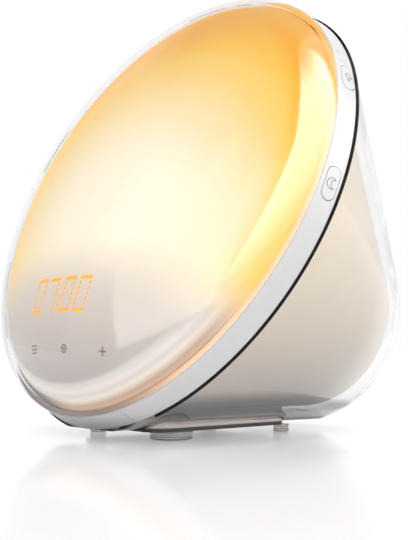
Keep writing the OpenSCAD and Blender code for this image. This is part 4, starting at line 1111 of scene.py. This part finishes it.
def tray_finish():
    """Frosted grey-beige plastic that gets darker towards the table, where no light from the lamp comes."""
    c = settings("colour")
    f = Finish("tray_plastic")
    tones = [(0.0, c.tray_low_shade), (0.35, c.tray_low_shade), (0.75, c.tray), (1.0, c.tray)]
    # painted shade towards the table, and a faint painted glow all over
    f.glowing(f.ramp(f.remap(f.height(), 0.009, 0.022, how="LINEAR"), tones, "LINEAR"), 0.08)
    f.matt(140, 0.36, 0.45).bump(f.noise(2500, 2.0), 0.05, 0.0001)
    return f.material


class CLOCK_OT_rear_body(bpy.types.Operator):
    """Make the clear rear shell, the frosted housing inside it and the lower tray"""

    bl_idname = "clock.rear_body"
    bl_label = "Rear body"

    def execute(self, context):
        s, ring, base = settings("rear"), settings("ring"), settings("base")
        middle = face_axes()[0]
        rear = middle[1] + s.reach
        deep = ring.depth + ring.seal
        y = -base.ahead
        front = ring.depth + s.ring_gap
        shell = shell_piece("clear_rear_shell", s.rim_radius, front, 0.0, 0.0, s.lift, s.wall)
        gap = settings("face").fit
        outline = rounded_outline(base.width + 2 * gap, base.length + 2 * gap, base.corner + gap)
        hole = prism("base_hole", outline, -0.001, base.level + 0.003, upright(0, y))
        outline = rounded_outline(s.panel_width + 2 * gap, s.panel_height + 2 * gap, s.panel_corner + gap)
        window = prism("panel_hole", outline, rear - 0.027, rear + 0.005, rearward(s.panel_z))
        carve(shell, [hole, window], sharp=28)
        # the shell's lowest level, from which painted shade darkens it towards the table
        look = {"roughness": 0.015, "bend": 1.40, "coat": 0.2, "edge": 0.5, "foot": s.lift}
        plastic = clear_plastic("clear_shell_plastic", **look)
        finished(shell, plastic, "clock", "clear_plastic", "rear_shell")
        # frosted housing over the parting line, tray under it
        for name, above in (("frosted_housing", True), ("lower_tray_piece", False)):
            sizes = (s.housing_gap, s.housing_lift, base.level, s.housing_wall)
            piece = shell_piece(name, s.housing_rim, deep + ring.seal_lip, *sizes)
            carve(piece, [self.parting(above)], "INTERSECT", 28)
            if above:
                finished(piece, housing_finish(), "clock", "frosted_warm", "inner_housing")
            else:
                finished(piece, tray_finish(), "clock", "tray_grey", "lower_tray")
        play = 0.0005
        outline = rounded_outline(base.width - 2 * play, base.length - 2 * play, base.corner - play)
        deck = prism("tray_deck", outline, base.level, base.level + base.deck, upright(0, y))
        finished(deck, bpy.data.materials["tray_plastic"], "clock", "tray_grey")
        self.socket_boss(s, rear)
        return {"FINISHED"}

    def parting(self, above):
        """A large box on one side of the sloping parting plane."""
        s = settings("rear")
        y = face_axes()[0][1]
        box = block("parting", (-0.3, -0.3, 0.0 if above else -0.3), (0.3, 0.3, 0.3 if above else 0.0))
        points = np.zeros(len(box.data.vertices) * 3)
        box.data.vertices.foreach_get("co", points)
        points = points.reshape(-1, 3)
        c, t = math.cos(-s.parting_fall), math.sin(-s.parting_fall)
        points = points @ np.array([[1, 0, 0], [0, c, -t], [0, t, c]]).T + [0, y, s.parting_z]
        box.data.vertices.foreach_set("co", points.ravel())
        box.data.update()
        return box

    def socket_boss(self, s, rear):
        """The block that carries the sockets through the shell."""
        panel_wall, boss_depth = 0.0012, 0.015
        end = rear - s.panel_sink - panel_wall
        start, place = end - boss_depth, rearward(s.panel_z)
        outline = rounded_outline(s.panel_width, s.panel_height, s.panel_corner)
        boss = prism("socket_boss", outline, start, end, place)
        holes = []
        # middle and width of each socket's opening
        for x, width in ((-0.0135, 0.009), (0.0, 0.009), (0.0135, 0.0132)):
            outline = rounded_outline(width, 0.009, 0.0002, 3) + [x, 0]
            holes.append(prism("socket_hole", outline, start - 0.001, end + 0.001, place))
        carve(boss, holes)
        finished(boss, moulded("boss_plastic", (0.55, 0.54, 0.52), 0.45), "clock", "frosted_warm")


# ------------------------------------------------------------------ base, sockets and inner parts


class CLOCK_OT_base(bpy.types.Operator):
    """Make the feet and finish the base plate"""

    bl_idname = "clock.base"
    bl_label = "Base and feet"

    def execute(self, context):
        c = settings("colour")
        dress("base_plate", self.base_finish(c))
        dress("base_screws", metal("screw_steel", (0.55, 0.55, 0.56), 0.3))
        glossy = self.foot_finish()
        self.feet("large_foot_pad", "large_foot", [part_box("large_foot")], glossy)
        low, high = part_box("small_feet")
        d = self.small_diameter(low, high)
        corners = [(low.x, low.y), (low.x, high.y - d), (high.x - d, high.y - d)]
        boxes = [(Vector((x, y, low.z)), Vector((x + d, y + d, high.z))) for x, y in corners]
        self.feet("small_foot_pads", "small_feet", boxes, glossy)
        return {"FINISHED"}

    def base_finish(self, c):
        """Polished grey plastic with a faint painted glow, and painted shade along its lower edge."""
        f = Finish("base_plastic")
        grey = f.toned(c.base, 0.06, f.noise(60))
        # painted shade along the lower edge, and a faint painted glow all over
        f.glowing(f.blend(f.remap(f.height(), 0.0040, 0.0046), (0.04, 0.037, 0.034), grey), 0.16)
        f.set(Specular_IOR_Level=0.25).matt(140, 0.28, 0.36).bump(f.noise(2500, 2.0), 0.04, 0.0001)
        return f.material

    def small_diameter(self, low, high):
        """Width of one small foot: of the points left of the middle, how far they spread along x."""
        mesh = NODES["small_feet"].data
        points = np.zeros(len(mesh.vertices) * 3)
        mesh.vertices.foreach_get("co", points)
        x = points[::3]
        left = x[x < (low.x + high.x) / 2]
        return float(left.max() - left.min())

    def foot_finish(self):
        """Clear smoke-grey rubber with a polished skin."""
        f = Finish("foot_rubber")
        f.set(Base_Color=f.toned((0.46, 0.455, 0.445), 0.06, f.noise(700)), Transmission_Weight=0.9, IOR=1.45)
        f.matt(400, 0.02, 0.08)
        return f.material

    def feet(self, name, node, boxes, material):
        """Turned feet: a rounded edge at the floor and two fine grooves round the side."""
        parts, edge, groove, turns = [], 0.0006, 0.00035, 64
        for low, high in boxes:
            r, h = (high.x - low.x) / 2, high.z - low.z
            rows = [(0, 0), (r - edge, 0), (r - 0.3 * edge, 0.3 * edge), (r, edge)]
            for z in (0.36 * h, 0.68 * h):
                rows += [(r, z - groove), (r - groove, z - groove * 0.6)]
                rows += [(r - groove, z + groove * 0.6), (r, z + groove)]
            rows += [(r, h), (0, h)]
            middle = np.array([(low.x + high.x) / 2, (low.y + high.y) / 2, low.z])
            points, _ = revolve(rows, (middle, *np.eye(3)), turns=turns)
            parts.append((points, grid_quads(len(points), turns, False, True)))
        finished(mesh_piece(name, parts), material, "clock", "foot_pad", node)


class CLOCK_OT_sockets(bpy.types.Operator):
    """Finish the socket panel and the three sockets"""

    bl_idname = "clock.sockets"
    bl_label = "Sockets"

    def execute(self, context):
        dress("socket_panel", moulded("panel_plastic", (0.5, 0.5, 0.49), 0.45, 0.08))
        black = moulded("black_plastic", (0.02, 0.02, 0.02), 0.4)
        dress("power_socket", black)
        dress("audio_socket", black)
        plated = metal("socket_plating", (0.8, 0.8, 0.8), 0.2)
        dress("usb_socket", plated)
        dress("power_pin", plated)
        dress("socket_board", circuit("circuit_board"))
        return {"FINISHED"}


class CLOCK_OT_lamp(bpy.types.Operator):
    """Finish the carrier, the reflector bowl and the lamp's parts"""

    bl_idname = "clock.lamp"
    bl_label = "Lamp"

    def execute(self, context):
        white = moulded("carrier_plastic", (0.82, 0.82, 0.80), 0.5)
        for node in ("carrier_frame", "light_barrier"):
            dress(node, white)
        dress("reflector_bowl", moulded("bowl_plastic", (0.88, 0.88, 0.88), 0.3, 0.03))
        dress("led_board", moulded("lamp_board", (0.8, 0.8, 0.78), 0.35, 0.02))
        lights = {
            "white_leds": (1.0, 0.92, 0.65),
            "amber_leds": (1.0, 0.5, 0.06),
            "red_leds": (0.85, 0.05, 0.03),
        }
        for node, colour in lights.items():
            f = Finish(node + "_lens")
            f.glowing(f.toned(colour, 0.1, f.noise(900)), 0.6).set(Roughness=0.15)
            dress(node, f.material)
        dress("heat_sink", metal("sink_aluminium", (0.78, 0.79, 0.8), 0.35, (1, 1, 0.05)))
        steel = bpy.data.materials["screw_steel"]
        for node in ("light_screws", "board_screws", "housing_screws"):
            dress(node, steel)
        return {"FINISHED"}


class CLOCK_OT_boards(bpy.types.Operator):
    """Finish the display, the touch contacts, the switches and the main board"""

    bl_idname = "clock.boards"
    bl_label = "Boards"

    def execute(self, context):
        board = bpy.data.materials["circuit_board"]
        for node in ("display_board", "touch_board", "switch_boards", "main_board"):
            dress(node, board)
        black = bpy.data.materials["black_plastic"]
        for node in ("display_module", "main_chips"):
            dress(node, black)
        dress("touch_springs", metal("spring_gold", (0.8, 0.6, 0.25), 0.25))
        dress("button_switches", bpy.data.materials["socket_plating"])
        dress("capacitors", moulded("capacitor_sleeve", (0.02, 0.03, 0.12), 0.25, coat=0.4))
        dress("board_connectors", moulded("plug_nylon", (0.78, 0.76, 0.70), 0.5, 0.05))
        dress("light_lead", moulded("red_wire", (0.5, 0.03, 0.02), 0.4, 0.03))
        dress("socket_lead", moulded("black_wire", (0.03, 0.03, 0.03), 0.4, 0.03))
        return {"FINISHED"}


class CLOCK_OT_speaker(bpy.types.Operator):
    """Finish the speaker that faces down"""

    bl_idname = "clock.speaker"
    bl_label = "Speaker"

    def execute(self, context):
        dress("speaker_frame", bpy.data.materials["black_plastic"])
        f = Finish("speaker_paper")
        fibres = f.noise(2200, 4.0, (1, 1, 0.3))
        f.set(Base_Color=f.toned((0.03, 0.028, 0.025), 0.3, fibres), Roughness=0.85).bump(fibres, 0.3, 0.0002)
        dress("speaker_cone", f.material)
        dress("speaker_magnet", metal("magnet_steel", (0.45, 0.45, 0.46), 0.4))
        dress("speaker_screws", bpy.data.materials["screw_steel"])
        dress("speaker_gasket", moulded("gasket_foam", (0.04, 0.04, 0.045), 0.9, 0.5, 900))
        dress("speaker_lead", bpy.data.materials["black_wire"])
        return {"FINISHED"}


# ------------------------------------------------------------------ panel and main


OPERATORS = (
    CLOCK_OT_studio,
    CLOCK_OT_clear_dome,
    CLOCK_OT_lit_face,
    CLOCK_OT_figures,
    CLOCK_OT_ring,
    CLOCK_OT_buttons,
    CLOCK_OT_rear_body,
    CLOCK_OT_base,
    CLOCK_OT_sockets,
    CLOCK_OT_lamp,
    CLOCK_OT_boards,
    CLOCK_OT_speaker,
)


class CLOCK_PT_parts(bpy.types.Panel):
    """Lists the steps that build the clock"""

    bl_idname = "CLOCK_PT_parts"
    bl_label = "Sunrise Alarm Clock"
    bl_space_type = "VIEW_3D"
    bl_region_type = "UI"
    bl_category = "Clock"

    def draw(self, context):
        column = self.layout.column(align=True)
        for kind in OPERATORS:
            column.operator(kind.bl_idname)
        for name, group in GROUPS.items():
            box = self.layout.box()
            box.label(text=group.__doc__)
            for key in group.__annotations__:
                box.prop(getattr(context.scene, name), key)


def register():
    """Registers the settings, the operators and the panel."""
    for name, group in GROUPS.items():
        bpy.utils.register_class(group)
        setattr(bpy.types.Scene, name, PointerProperty(type=group))
    for kind in (*OPERATORS, CLOCK_PT_parts):
        bpy.utils.register_class(kind)


def unregister():
    """Removes what register added."""
    for kind in reversed((*OPERATORS, CLOCK_PT_parts)):
        bpy.utils.unregister_class(kind)
    for name, group in reversed(GROUPS.items()):
        delattr(bpy.types.Scene, name)
        bpy.utils.unregister_class(group)


def main():
    """Registers the classes and builds every piece in order."""
    register()
    for kind in OPERATORS:
        getattr(bpy.ops.clock, kind.bl_idname.removeprefix("clock."))()


if __name__ == "__main__":
    main()
